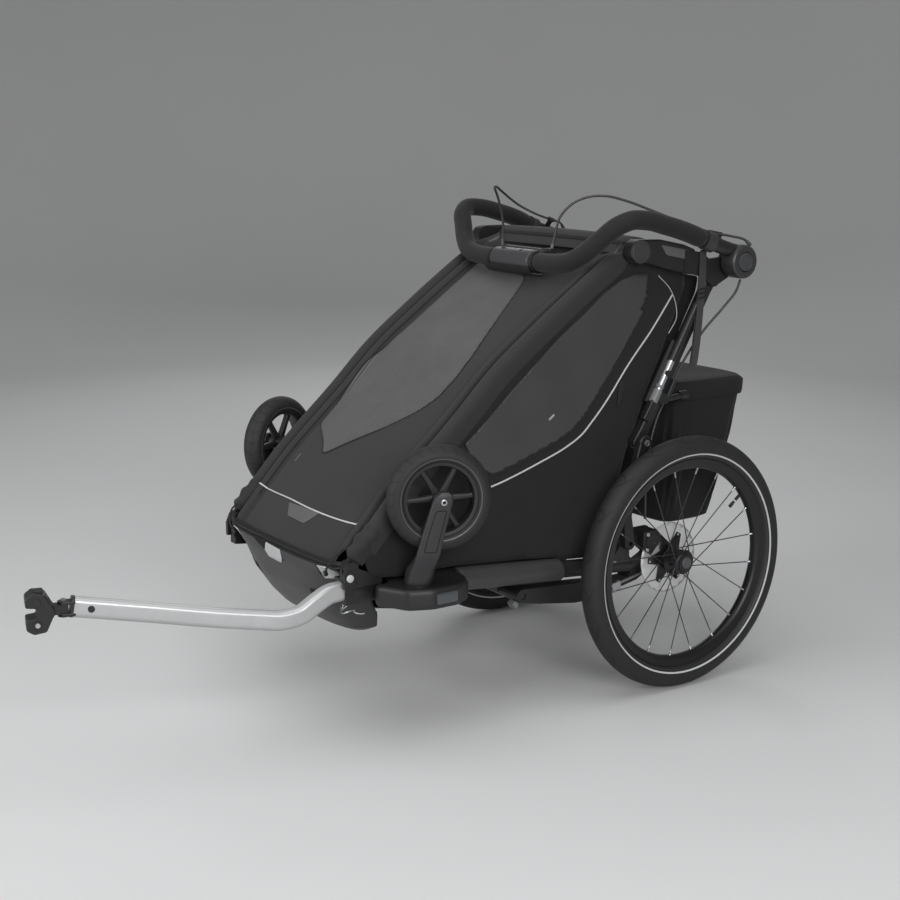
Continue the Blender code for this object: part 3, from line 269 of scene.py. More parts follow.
# Rear wheels
# Each wheel is a rubber tyre with a woven reflective band on both walls, on a black hollow rim. Twenty thin steel
# spokes cross twice between the rim and a black alloy hub. A drilled steel rotor is bolted to the hub's inner side.
SIDES = (("left", 1), ("right", -1))
WHEEL_X = 0.3
WHEEL_Z = 0.25
TYRE_RADIUS, TYRE_TUBE, TYRE_REACH = 0.2265, 0.0235, 156.0
FLANGE_RADIUS, NIPPLE_RADIUS, SPOKE_RADIUS, SPOKE_LEAN = 0.0205, 0.188, 0.00105, 58.0


def lathe(profile, steps, centre):
    """Rings about an axis along X. The point at distance x and radius r goes to (x, cy + r cos t, cz + r sin t)."""
    turn = np.linspace(0.0, 2.0 * np.pi, steps, endpoint=False)
    x, r = np.array(profile, float).T
    across = np.broadcast_to(x[:, None], (len(x), steps))
    return np.stack([across, centre[0] + np.outer(r, np.cos(turn)), centre[1] + np.outer(r, np.sin(turn))], -1)


def flow(points, count):
    """Evenly spaced points on a smooth curve through the points of a route.

    Each stretch is the cubic with the slopes that the chords on both sides of its ends have on average.
    """
    knots = np.array(points, float)
    gaps = np.linalg.norm(np.diff(knots, axis=0), axis=1)
    place = np.concatenate([[0.0], np.cumsum(gaps)])
    chord = np.diff(knots, axis=0) / gaps[:, None]
    inner = (chord[:-1] * gaps[1:, None] + chord[1:] * gaps[:-1, None]) / (gaps[1:] + gaps[:-1])[:, None]
    slope = np.concatenate([chord[:1], inner, chord[-1:]])
    reach = np.linspace(0.0, place[-1], 3000)
    k = np.clip(np.searchsorted(place, reach, "right") - 1, 0, len(gaps) - 1)
    width = gaps[k][:, None]
    t = (reach - place[k])[:, None] / width
    fine = (2 * t**3 - 3 * t**2 + 1) * knots[k] + (t**3 - 2 * t**2 + t) * width * slope[k]
    fine += (3 * t**2 - 2 * t**3) * knots[k + 1] + (t**3 - t**2) * width * slope[k + 1]
    run = np.concatenate([[0.0], np.cumsum(np.linalg.norm(np.diff(fine, axis=0), axis=1))])
    even = np.linspace(0.0, run[-1], count)
    return np.stack([np.interp(even, run, column) for column in fine.T], 1)


def ring(radius, steps=16, squash=1.0):
    """A round or an oval section as pairs (r cos t, squash r sin t)."""
    turn = np.linspace(0.0, 2.0 * np.pi, steps, endpoint=False)
    return np.stack([radius * np.cos(turn), squash * radius * np.sin(turn)], -1)


def tapered(radii, steps):
    """Round sections of several radii, one for each point of a route."""
    return ring(1.0, steps) * np.array(radii)[:, None, None]


def carry(route, section, side=(1.0, 0.0, 0.0)):
    """A section of (across, up) pairs carried along a route, square to it.

    Across is the side direction less its part along the route, and up is the heading crossed with across. The
    section may be one for the whole route or one for each of its points.
    """
    route = np.array(route, float)
    section = np.broadcast_to(section, (len(route),) + np.shape(section)[-2:])
    ahead = np.gradient(route, axis=0)
    ahead /= np.linalg.norm(ahead, axis=1)[:, None]
    across = np.array(side) - (ahead @ np.array(side))[:, None] * ahead
    across /= np.linalg.norm(across, axis=1)[:, None]
    up = np.cross(ahead, across)
    return route[:, None] + section[..., :1] * across[:, None] + section[..., 1:] * up[:, None]


def solid(grid):
    """A closed skin over rings of points, with a flat face over its first and its last ring."""
    return shell(grid, around=True, capped=True)


def bar(route, section, side=(1.0, 0.0, 0.0)):
    """A section carried along a route, with both ends capped."""
    return solid(carry(route, section, side))


def knob(profile, steps, centre, sign=1):
    """A turned solid with flat ends from (distance along X, radius) pairs, on the left or the right side."""
    return solid(lathe([(sign * x, r) for x, r in profile], steps, centre))


def bush(profile, steps, centre, sign=1):
    """A turned ring, whose profile of (distance along X, radius) pairs closes on itself."""
    return shell(lathe([(sign * x, r) for x, r in profile], steps, centre), around=True, along=True)


def chart(start):
    """Wires of the two pattern coordinates of a surface."""
    flat = start.add("TexCoord", output=2)
    return flat.part(0), flat.part(1)


def tyre_rubber(name, lap, crown, lugs, bands, depth):
    """Rubber with curved grooves across its tread, painted dark as painted shade, and light bands along its walls.

    lap is the length of the pattern round the wheel, crown the distance from the bead to the middle of the tread, and
    a band is a distance from the crown, a half width, a colour and a roughness. With a distance d from the crown, a
    groove lies where the fraction of lugs * u / lap + 900 d^2, or of lugs * u / lap + 0.31 - 900 d^2, is near a half.
    """
    material, shader, start = finish(name, 0.62)
    u, v = chart(start)
    off = abs(v - crown)
    turns, bend = u * (lugs / lap), off * off * 900.0
    first = (abs((turns + bend) % 1.0 - 0.5) < 0.035) * (off < 0.0215) * (off > 0.0035)
    second = (abs((turns + 0.31 - bend) % 1.0 - 0.5) < 0.022) * (off < 0.013)
    cut = first.maths("MAXIMUM", first, second)
    grain, dust = speckle(start, start.spot(), 0.0011, 3.0), speckle(start, start.spot(), 0.05, 4.0)
    colour = (grain * 0.3 + dust * 0.7).shades((0.014, 0.014, 0.015), (0.029, 0.029, 0.03))
    # Inside the grooves the colour falls to near black: painted shade in the recesses.
    colour = cut.shades(colour, (0.008, 0.008, 0.008))
    rough = 0.58 + dust * 0.12
    for place, half, tint, gloss in bands:
        band = abs(off - place) < half
        colour = band.shades(colour, tint)
        rough = rough * (1.0 - band) + band * gloss
    feed(shader, colour, "Base Color")
    feed(shader, rough, "Roughness")
    emboss(shader, grain * 0.12 - cut, depth)
    return material


def powder_coat(name, dark, light, roughness=0.42, metallic=0.0, peel=0.0009, depth=0.00004):
    """Baked paint: a fine orange peel, faint rubbed patches and a colour that hardly changes."""
    material, shader, start = finish(name, roughness, Metallic=metallic)
    where = start.spot()
    fine = speckle(start, where, peel, 2.0)
    broad = speckle(start, where, 0.03, 4.0)
    feed(shader, (fine * 0.35 + broad * 0.65).shades(dark, light), "Base Color")
    feed(shader, roughness - 0.08 + broad * 0.16, "Roughness")
    emboss(shader, fine, depth)
    return material


def spoke_ends(sign):
    """The head and the tip of each of the twenty spokes, worked out for five spokes at once.

    Spoke k of a flange ends on the rim at 72 k degrees, or 72 k + 36 for the outer flange, shifted by 9 degrees one
    way or the other, and on the hub 58 degrees before or behind that.
    """
    ends = []
    for lean in (1, -1):
        for flange, x in enumerate((0.26775, 0.30175)):
            rim_turn = np.radians(72.0 * np.arange(5) + 36.0 * flange + 9.0 * lean)
            hub_turn = rim_turn + lean * np.radians(SPOKE_LEAN)
            pair = [np.stack([np.full(5, sign * across), r * np.cos(t), WHEEL_Z + r * np.sin(t)], 1) for across, r, t in
                    ((x + lean * 0.0009, FLANGE_RADIUS, hub_turn), (0.2999 + lean * 0.0011, NIPPLE_RADIUS, rim_turn))]
            ends += zip(*pair)
    return ends


def bright_metal(name, roughness, dark, light, gloss, swing):
    """Drawn metal: fine streaks in its colour, and a roughness of gloss + swing * streak."""
    material, shader, start = finish(name, roughness, Metallic=0.9)
    streak = speckle(start, start.spot(), 0.004, 3.0)
    feed(shader, streak.shades(dark, light), "Base Color")
    feed(shader, gloss + streak * swing, "Roughness")
    return material


rim_paint = powder_coat("anodised_black", (0.016, 0.016, 0.018), (0.03, 0.03, 0.032), 0.34, 0.35)
hub_paint = powder_coat("hub_black", (0.02, 0.02, 0.022), (0.036, 0.036, 0.039), 0.32, 0.4)
wall = np.radians(np.linspace(-TYRE_REACH, TYRE_REACH, 45))
tyre_section = np.stack([TYRE_TUBE * np.sin(wall), TYRE_RADIUS + TYRE_TUBE * np.cos(wall)], 1)
tyre_lap = 2.0 * np.pi * tyre_section[:, 1].mean()
tyre_paint = tyre_rubber("tyre_rubber", tyre_lap, TYRE_TUBE * np.radians(TYRE_REACH), 20,
                         [(0.0465, 0.0017, (0.82, 0.83, 0.84), 0.35), (0.0525, 0.0006, (0.05, 0.05, 0.05), 0.4)],
                         0.0009)
rim_section = [(-0.0128, 0.204), (-0.014, 0.2062), (-0.0128, 0.2066), (-0.0112, 0.203), (0.0112, 0.203),
               (0.0128, 0.2066), (0.014, 0.2062), (0.0128, 0.204), (0.0118, 0.196), (0.009, 0.19), (0.0045, 0.1872),
               (0.0, 0.1865), (-0.0045, 0.1872), (-0.009, 0.19), (-0.0118, 0.196)]
spoke_paint = powder_coat("black_spokes", (0.06, 0.06, 0.063), (0.1, 0.1, 0.104), 0.3, 0.6)
steel_paint = bright_metal("bright_steel", 0.28, (0.42, 0.43, 0.44), (0.6, 0.61, 0.62), 0.22, 0.16)
hub_section = [(0.2588, 0.0086), (0.2588, 0.015), (0.26, 0.0165), (0.264, 0.0165), (0.2656, 0.02), (0.2664, 0.024),
               (0.269, 0.0243), (0.2698, 0.02), (0.272, 0.015), (0.276, 0.0138), (0.294, 0.0138), (0.298, 0.015),
               (0.2998, 0.02), (0.3006, 0.0242), (0.303, 0.024), (0.304, 0.02), (0.306, 0.0182), (0.3088, 0.0178),
               (0.3092, 0.0165), (0.3092, 0.0124), (0.3, 0.0124), (0.3, 0.0086)]
for side, sign in SIDES:
    body = side + "_wheel"
    middle = np.array((sign * WHEEL_X, 0.0))
    axle = (0.0, WHEEL_Z)
    tyre = piece(side + "_tyre", [bush(tyre_section + middle, 144, axle)], tyre_paint, body, crease=60)
    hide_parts(side + "_rear_tyre")
    rim = piece(side + "_rim", [bush(np.array(rim_section) + middle, 120, axle)], rim_paint, body, crease=50)
    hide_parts(side + "_rear_rim")
    hub = piece(side + "_hub", [bush(hub_section, 48, axle, sign)], hub_paint, body, crease=40)
    laces, nipples = [], []
    for head, tip in spoke_ends(sign):
        laces.append(bar(np.linspace(head, tip, 3), ring(SPOKE_RADIUS, 6)))
        inward = (head - tip) / np.linalg.norm(head - tip)
        nipples.append(bar(tip + np.outer((-0.001, 0.004, 0.0045, 0.014), inward),
                           tapered((0.0024, 0.0024, 0.0019, 0.0017), 8)))
    lacing = piece(side + "_spokes", laces, spoke_paint, body, crease=60)
    collars = piece(side + "_nipples", nipples, steel_paint, body, crease=60)
    stem_turn = np.radians(38.0)
    outward = np.array((0.0, np.cos(stem_turn), np.sin(stem_turn)))
    foot = np.array((sign * WHEEL_X, 0.0, WHEEL_Z)) + 0.186 * outward
    valve_section = tapered((0.0032, 0.0032, 0.0026, 0.0026, 0.0034, 0.0034), 12)
    valve_route = foot - np.outer((0.0, 0.02, 0.0205, 0.023, 0.0235, 0.033), outward)
    valve = piece(side + "_valve", [bar(valve_route, valve_section)], tyre_paint, body, crease=40)

# Brake rotors
# A 2 mm stainless plate on each hub, with two rings of small drillings round its edge and six windows inside them,
# held by a black carrier with six steel bolts.
ROTOR_X, CARRIER_X, BOLT_CIRCLE = 0.2555, 0.2574, 0.049


def laid(flat, lift):
    """Points (a, b) of a plane, raised into space by a function of two arrays."""
    return np.stack(np.broadcast_arrays(*lift(*np.transpose(flat))), 1)


def patch(outline, holes, spacing, lift):
    """Triangles that fill an outline in a plane, less its holes, raised into space by a function of (a, b) arrays.

    Loose points stand on a square lattice inside the outline, and a constrained Delaunay mesh joins them. The pattern
    coordinates are the plane's own.
    """
    loops = [np.array(loop, float) for loop in [outline, *holes]]
    low, high = loops[0].min(0), loops[0].max(0)
    a, b = np.meshgrid(np.arange(low[0], high[0], spacing), np.arange(low[1], high[1], spacing))
    lattice = np.stack([a.ravel(), b.ravel()], 1)
    starts = np.cumsum([0] + [len(loop) for loop in loops])
    edges = [(int(at + i), int(at + (i + 1) % len(loop))) for loop, at in zip(loops, starts) for i in range(len(loop))]
    border = np.concatenate(loops)
    gap = np.linalg.norm(lattice[:, None] - border[None], axis=2).min(1)
    flat = np.concatenate([border, lattice[gap > 0.45 * spacing]])
    found = geometry.delaunay_2d_cdt([Vector(p) for p in flat], edges, [], 2, 1e-7)
    flat, faces = np.array([tuple(p) for p in found[0]]), np.array(found[2])
    used, faces = np.unique(faces, return_inverse=True)
    faces = faces.reshape(-1, 3)
    flat = flat[used]
    return laid(flat, lift), faces.tolist(), flat[faces].reshape(-1, 2), []


def thicken(thing, thickness, offset=0.0, edge=0.0):
    """Gives a skin a wall, and breaks the wall's edges where an edge width is given."""
    wall = thing.modifiers.new("wall", "SOLIDIFY")
    wall.thickness = thickness
    wall.offset = offset
    wall.use_even_offset = edge > 0.0
    if edge:
        bevel = thing.modifiers.new("edge", "BEVEL")
        bevel.width = edge
        bevel.segments = 2
        bevel.limit_method = "ANGLE"
        bevel.angle_limit = np.radians(45.0)
    return thing


def disc(centre, radius, steps=48, start=0.0):
    """Points of a circle in a plane, as pairs."""
    turn = start + np.linspace(0.0, 2.0 * np.pi, steps, endpoint=False)
    return np.stack([centre[0] + radius * np.cos(turn), centre[1] + radius * np.sin(turn)], 1)


def sector(inner, outer, first, last, steps=8):
    """The outline of a window between two radii and two pairs of angles in degrees, about the wheel's axle."""
    far, near = np.radians(np.linspace(*first, steps)), np.radians(np.linspace(*last, steps))
    loop = [(outer * np.cos(far), outer * np.sin(far)), (inner * np.cos(near), inner * np.sin(near))]
    return np.concatenate([np.stack(half, 1) for half in loop]) + (0.0, WHEEL_Z)


rotor_paint, shader, start = finish("rotor_steel", 0.3, Metallic=0.55)
where = start.spot()
y_side, z_side = where.part(1) - AXLE_Y, where.part(2) - WHEEL_Z
away = (y_side * y_side + z_side * z_side).maths("SQRT")
rubbed = (away > 0.056) * (away < 0.0695)
turnings = away.wave(0.0006) * 0.5 + 0.5
tarnish = speckle(start, where, 0.012, 3.0)
feed(shader, (turnings * 0.3 + tarnish * 0.7).shades((0.8, 0.8, 0.8), (0.95, 0.95, 0.95)), "Base Color")
feed(shader, 0.34 - rubbed * 0.1 + tarnish * 0.1, "Roughness")
emboss(shader, turnings, 0.00002)
bolt_paint = powder_coat("zinc_bolts", (0.4, 0.4, 0.41), (0.58, 0.58, 0.6), 0.34, 0.9)
for side, sign in SIDES:
    body = side + "_wheel"
    windows = [sector(0.04, 0.054, (60 * i + 4, 60 * i + 46), (60 * i + 52, 60 * i + 20)) for i in range(6)]
    drilled = [disc((r * np.cos(t), WHEEL_Z + r * np.sin(t)), 0.0021, 10)
               for r, shift in ((0.0592, 0.0), (0.0655, 7.5)) for t in np.radians(np.arange(0, 360, 15) + shift)]
    skin = patch(disc((0.0, WHEEL_Z), 0.07, 120), [disc((0.0, WHEEL_Z), 0.03, 48), *windows, *drilled], 0.02,
                 lambda a, b: (sign * ROTOR_X, a, b))
    rotor = thicken(piece(side + "_rotor", [skin], rotor_paint, body), 0.002)
    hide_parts(side + "_brake_rotor")
    arms = [sector(0.025, 0.053, (60 * i - 6, 60 * i + 6), (60 * i + 31, 60 * i - 27), 6) for i in range(6)]
    skin = patch(np.concatenate(arms), [disc((0.0, WHEEL_Z), 0.011, 32)], 0.02,
                 lambda a, b: (sign * CARRIER_X, a, b))
    carrier = thicken(piece(side + "_rotor_carrier", [skin], hub_paint, body), 0.0018)
    spots = [(BOLT_CIRCLE * np.cos(t), WHEEL_Z + BOLT_CIRCLE * np.sin(t)) for t in np.radians(60 * np.arange(6) + 2)]
    heads = [knob([(0.258, 0.0026), (0.2596, 0.0026), (0.26, 0.0021)], 12, spot, sign) for spot in spots]
    bolts = piece(side + "_rotor_bolts", heads, bolt_paint, body)

# Axle buttons
# A round plastic push button at the end of each axle lets the wheel off its stub.
button_paint = powder_coat("grey_plastic", (0.085, 0.09, 0.095), (0.12, 0.126, 0.132), 0.38, 0.0, 0.0006, 0.00003)
for side, sign in SIDES:
    profile = [(0.3045, 0.0118), (0.3098, 0.0118), (0.311, 0.0114), (0.3117, 0.0105), (0.312, 0.009), (0.3114, 0.0078),
               (0.3112, 0.003)]
    button = piece(side + "_axle_cap", [knob(profile, 48, (0.0, WHEEL_Z), sign)], button_paint,
                   side + "_axle_release")
    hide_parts(side + "_axle_button")

# Stroller wheels
# Two small wheels stand in the docks while the trailer is towed: a rubber tyre on a six-spoke plastic wheel, in a
# one-sided plastic fork whose stem drops into the dock. The forks are turned twenty degrees from straight.
STEM = np.array((0.275, -0.603))
TOE = np.radians(20.0)
CASTER = (0.038, 0.455)


def stow(grid, sign):
    """A shape in a stroller wheel's own frame (x out, y back), turned by the toe about the stem and put in its dock."""
    x = STEM[0] + grid[..., 0] * np.cos(TOE) + grid[..., 1] * np.sin(TOE)
    y = STEM[1] - grid[..., 0] * np.sin(TOE) + grid[..., 1] * np.cos(TOE)
    return np.stack([sign * x, y, grid[..., 2]], -1)


def round_box(width, height, radius, steps=6):
    """The outline of a rectangle with round corners about the origin, as pairs."""
    turn = np.radians(np.linspace(0.0, 90.0, steps))
    corner = np.stack([width / 2 - radius + radius * np.cos(turn), height / 2 - radius + radius * np.sin(turn)], 1)
    return np.concatenate([corner, corner[::-1] * (-1, 1), -corner, corner[::-1] * (1, -1)])


def rounded(points, count, radius):
    """A closed outline through points, with its corners eased by a running mean over a distance."""
    loop = np.array(points, float)
    loop = np.concatenate([loop, loop[:1]])
    run = np.concatenate([[0.0], np.cumsum(np.linalg.norm(np.diff(loop, axis=0), axis=1))])
    even = np.linspace(0.0, run[-1], count, endpoint=False)
    path = np.stack([np.interp(even, run, c) for c in loop.T], 1)
    width = max(1, int(round(radius / (run[-1] / count))))
    kernel = np.hanning(2 * width + 3)[1:-1]
    kernel /= kernel.sum()
    wrapped = np.concatenate([path[-width:], path, path[:width]])
    return np.stack([np.convolve(c, kernel, "valid") for c in wrapped.T], 1)


# Near-black paint for painted shade, laid in grooves, slots and recesses and round a sunk panel.
painted_shade, shader, start = finish("shadow_black", 0.85)
blot = speckle(start, start.spot(), 0.01)
feed(shader, blot.shades((0.003, 0.003, 0.003), (0.006, 0.006, 0.006)), "Base Color")
plastic_paint = powder_coat("moulded_plastic", (0.012, 0.012, 0.013), (0.024, 0.024, 0.026), 0.46, 0.0, 0.0005)
fork_paint = powder_coat("fork_plastic", (0.022, 0.022, 0.024), (0.04, 0.04, 0.043), 0.42, 0.0, 0.0005)
caster_wall = np.radians(np.linspace(-128.0, 128.0, 33))
caster_section = np.stack([0.02 * np.sin(caster_wall) * (1.0 - 0.12 * np.cos(caster_wall) ** 2),
                           0.0765 + 0.0175 * np.cos(caster_wall)], 1)
caster_arc = np.linalg.norm(np.diff(caster_section, axis=0), axis=1).sum() / 2
# The grey line on the wall of the stroller tyre is a painted highlight, where the edge of the wall catches the light.
caster_paint = tyre_rubber("caster_rubber", 2.0 * np.pi * caster_section[:, 1].mean(), caster_arc, 26,
                           [(0.0335, 0.0009, (0.13, 0.13, 0.135), 0.4)], 0.0005)
# Height, how far back and out, length, width and corner radius of the fork's sections.
fork_rows = np.array([(0.3025, 0.0, 0.0, 0.044, 0.044, 0.02), (0.308, 0.0, 0.0, 0.048, 0.048, 0.02),
                      (0.33, 0.003, 0.005, 0.047, 0.045, 0.016), (0.348, 0.007, 0.02, 0.042, 0.024, 0.007),
                      (0.362, 0.011, 0.0285, 0.042, 0.0125, 0.004), (0.4, 0.021, 0.0288, 0.04, 0.0115, 0.004),
                      (0.455, 0.037, 0.0288, 0.036, 0.0115, 0.004), (0.466, 0.04, 0.0287, 0.029, 0.01, 0.0035),
                      (0.471, 0.041, 0.0285, 0.015, 0.007, 0.003)])
levels = np.concatenate([np.linspace(0.3025, 0.464, 90), np.linspace(0.465, 0.471, 8)])
columns = [np.interp(levels, fork_rows[:, 0], fork_rows[:, k]) for k in range(1, 6)]
blur = np.array((1.0, 2.0, 3.0, 2.0, 1.0)) / 9.0
back, out, length, width, corner = [np.convolve(np.pad(c, 2, "edge"), blur, "valid") for c in columns]
sections = np.stack([round_box(w, l, min(c, w / 2.02, l / 2.02), 9) for w, l, c in zip(width, length, corner)])
fork_grid = np.stack([sections[..., 0] + out[:, None], sections[..., 1] + back[:, None],
                      np.broadcast_to(levels[:, None], sections.shape[:2])], -1)
# A shallow panel is sunk into the outer face of the fork's leg.
sink = (np.clip((fork_grid[..., 2] - 0.366) / 0.004, 0, 1) * np.clip((0.441 - fork_grid[..., 2]) / 0.004, 0, 1)
        * np.clip((0.0125 - abs(fork_grid[..., 1] - back[:, None] - 0.001)) / 0.002, 0, 1))
fork_grid[..., 0] -= 0.0016 * sink * (sections[..., 0] > 0.003)
for side, sign in SIDES:
    spin_body, fork_body = side + "_front_wheel", side + "_caster"
    skin = shell(stow(lathe(caster_section, 96, CASTER), sign), around=True, along=True)
    tyre = piece(side + "_stroller_tyre", [skin], caster_paint, spin_body, crease=60)
    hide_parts(side + "_caster_tyre")
    rim_ring = [(-0.0142, 0.0664), (-0.015, 0.0655), (-0.0142, 0.06), (-0.01, 0.0586), (0.01, 0.0586), (0.0142, 0.06),
                (0.015, 0.0655), (0.0142, 0.0664)]
    hub_ring = [(-0.015, 0.0056), (-0.0152, 0.0128), (-0.014, 0.0142), (0.014, 0.0142), (0.0152, 0.0128),
                (0.015, 0.0056)]
    skins = [shell(stow(lathe(r, 72, CASTER), sign), around=True, along=True) for r in (rim_ring, hub_ring)]
    for turn in np.radians(60.0 * np.arange(6) + 2.0):
        heading = np.array((0.0, np.cos(turn), np.sin(turn)))
        route = np.array((0.0, *CASTER)) + np.outer(np.linspace(0.012, 0.06, 9), heading)
        wide = np.linspace(0.0068, 0.005, 9) + 0.0016 * np.linspace(-1.0, 1.0, 9) ** 4
        section = round_box(2.0, 2.0, 0.7, 4) * np.stack([np.full(9, 0.0058), wide], 1)[:, None]
        skins.append(solid(stow(carry(route, section), sign)))
    wheel = piece(side + "_stroller_wheel", skins, plastic_paint, spin_body, crease=40)
    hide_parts(side + "_caster_wheel")
    stem = lathe([(0.275, 0.0088), (0.2765, 0.009), (0.306, 0.009)], 32, (0.0, 0.0))[..., [1, 2, 0]]
    skins = [solid(stow(grid, sign)) for grid in (fork_grid, stem)]
    fork = piece(side + "_stroller_fork", skins, fork_paint, fork_body, crease=50)
    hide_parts(side + "_caster_fork")
    bolt = [(-0.0125, 0.003), (-0.0125, 0.0056), (0.034, 0.0056), (0.036, 0.0058), (0.0368, 0.0054), (0.0372, 0.0046),
            (0.0372, 0.003), (0.0352, 0.0027), (0.0352, 0.0008)]
    axle = piece(side + "_stroller_axle", [solid(stow(lathe(bolt, 24, CASTER), sign))], bolt_paint, fork_body)
    # A near-black cord round the fork's sunk panel and a ring in its axle socket are painted shade.
    edge = rounded([(-0.0112, 0.368), (0.0112, 0.368), (0.0096, 0.44), (-0.0096, 0.44)], 120, 0.005)
    lean, face = (np.interp(edge[:, 1], levels, c) for c in (back, out + width / 2))
    route = np.stack([face - 0.0002, edge[:, 0] + lean + 0.001, edge[:, 1]], 1)
    route = np.concatenate([route, route[:1]])
    outline = shell(stow(carry(route, ring(0.0009, 8)), sign), around=True)
    socket = solid(stow(lathe([(0.0353, 0.0029), (0.0362, 0.0029), (0.0364, 0.0024)], 12, CASTER), sign))
    piece(side + "_fork_panel_shade", [outline, socket], painted_shade, fork_body, 60)

# Side rails and wheel docks
# The frame's side tubes are powder-coated aluminium with a thick plastic sleeve in the middle, and end in moulded
# docks bolted on in front. Each dock carries a grey reflector on its outer face.
RAIL_X = 0.235
RAIL_ENDS = ((-0.585, -0.085), (0.2917, 0.247))
REFLECTOR = (-0.5715, 0.284)


def dress(paint, *names):
    """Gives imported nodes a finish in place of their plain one."""
    for name in names:
        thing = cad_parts[name]
        thing.data.materials.clear()
        thing.data.materials.append(paint)


def slab(name, outline, low, high, paint, body, holes=(), edge=0.0012, sign=1):
    """A flat part cut from a sheet that stands square to X: an outline in (y, z) with a wall from low to high."""
    middle = sign * (low + high) / 2
    skin = patch(outline, holes, 1.0, lambda a, b: (np.full(len(a), middle), a, b))
    return thicken(piece(name, [skin], paint, body), high - low, edge=edge)


def strand(points, radius, sides=10, count=60, side=(1.0, 0.0, 0.0)):
    """A round cord or rod on a smooth curve through a few points, with closed ends."""
    return bar(flow(points, count), ring(radius, sides), side)


def on_rail(stations, steps, sign):
    """A round skin along a side rail, from (distance back, radius) stations. The rail falls 44.7 mm over 0.5 m."""
    back, radii = np.array(stations).T
    route = np.stack([np.full(len(back), sign * RAIL_X), back, np.interp(back, *RAIL_ENDS)], 1)
    return solid(route[:, None] + np.insert(tapered(radii, steps), 1, 0.0, 2))


frame_paint = powder_coat("frame_black", (0.014, 0.014, 0.0155), (0.026, 0.026, 0.028), 0.36)
sleeve_paint = powder_coat("sleeve_plastic", (0.045, 0.045, 0.047), (0.068, 0.068, 0.071), 0.4, 0.0, 0.0005)
dock_paint = powder_coat("dock_plastic", (0.012, 0.012, 0.0135), (0.021, 0.021, 0.0225), 0.45, 0.0, 0.0005)
dress(dock_paint, "left_wheel_dock", "right_wheel_dock", "tow_receiver")
prism_paint, shader, start = finish("reflector_grey", 0.16, Coat_Weight=0.6)
where = start.spot()
y_side, z_side = (where.part(k) for k in (1, 2))
facet = y_side.wave(0.0044) * z_side.wave(0.0044) * 0.5 + 0.5
feed(shader, facet.shades((0.045, 0.052, 0.06), (0.11, 0.122, 0.135)), "Base Color")
emboss(shader, facet, 0.0003)
# The dock's plan, and its wall as heights with how far the wall stands outside the plan.
DOCK = ((0.2, -0.6446), (0.2262, -0.6446), (0.23, -0.664), (0.244, -0.668), (0.3, -0.64), (0.318, -0.598),
        (0.318, -0.545), (0.3, -0.514), (0.27, -0.5), (0.2, -0.5))
DOCK_WALL = ((0.2654, -0.0052), (0.266, -0.0026), (0.2676, -0.0006), (0.2704, 0.0006), (0.274, 0.001), (0.28, 0.0012),
             (0.29, 0.0012), (0.294, 0.001), (0.2975, 0.0004), (0.3001, -0.001), (0.3018, -0.003), (0.3026, -0.006),
             (0.3028, -0.011))
plan = rounded(DOCK, 150, 0.01)
ahead = np.roll(plan, -1, 0) - np.roll(plan, 1, 0)
outward = np.stack([ahead[:, 1], -ahead[:, 0]], 1) / np.linalg.norm(ahead, axis=1)[:, None]
levels, grow = (np.array(DOCK_WALL)[:, k, None] for k in (0, 1))
dock_rings = np.stack([plan[:, 0] + grow * outward[:, 0], plan[:, 1] + grow * outward[:, 1],
                       levels + np.zeros(150)], -1)
for side, sign in SIDES:
    skin = solid(dock_rings * (sign, 1.0, 1.0))
    piece(side + "_dock_shell", [skin], dock_paint, "chassis", crease=60)
    stations = [(-0.585, 0.013), (-0.499, 0.013), (-0.4988, 0.0182), (-0.4975, 0.019), (-0.4955, 0.019),
                (-0.495, 0.0172), (-0.258, 0.0172), (-0.2575, 0.0165), (-0.09, 0.0165), (-0.087, 0.0158),
                (-0.085, 0.0135)]
    lug = np.concatenate([disc((-0.108, 0.296), 0.014, 40)[np.r_[36:40, 0:25]], [(-0.15, 0.252), (-0.094, 0.25)]])
    rail = piece(side + "_rail_tube", [on_rail(stations, 40, sign)], frame_paint, "chassis", crease=30)
    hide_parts(side + "_side_rail")
    ear = slab(side + "_strut_lug", lug, 0.231, 0.25, frame_paint, "chassis", edge=0.0016, sign=sign)
    stations = [(-0.4945, 0.019), (-0.494, 0.0206), (-0.4925, 0.0214), (-0.49, 0.0215), (-0.44, 0.0215),
                (-0.266, 0.0215), (-0.262, 0.0213), (-0.2604, 0.0205), (-0.26, 0.019)]
    sleeve = piece(side + "_rail_sleeve", [on_rail(stations, 48, sign)], sleeve_paint, "chassis", crease=30)
    plate = round_box(0.043, 0.019, 0.003) + REFLECTOR
    lens = slab(side + "_dock_reflector", plate, 0.3186, 0.3204, prism_paint, "chassis", edge=0.0005, sign=sign)
    rim, well = (round_box(*size) + REFLECTOR for size in ((0.048, 0.024, 0.005), (0.0436, 0.0196, 0.0032)))
    bezel = slab(side + "_reflector_frame", rim, 0.3184, 0.3198, plastic_paint, "chassis", holes=[well], edge=0.0003,
                 sign=sign)
    socket = [(0.047, 0.3018), (0.047, 0.3034), (0.0458, 0.304), (0.03, 0.304), (0.01, 0.304), (0.0095, 0.3032),
              (0.0095, 0.3018)]
    radii, levels = np.array(socket).T * np.array((0.5, 1.0))[:, None]
    seat = np.concatenate([tapered(radii, 48) + STEM, np.broadcast_to(levels[:, None, None], (7, 48, 1))], -1)
    skin = shell(seat * (sign, 1.0, 1.0), around=True, along=True)
    piece(side + "_stem_collar", [skin], plastic_paint, "chassis", 30)

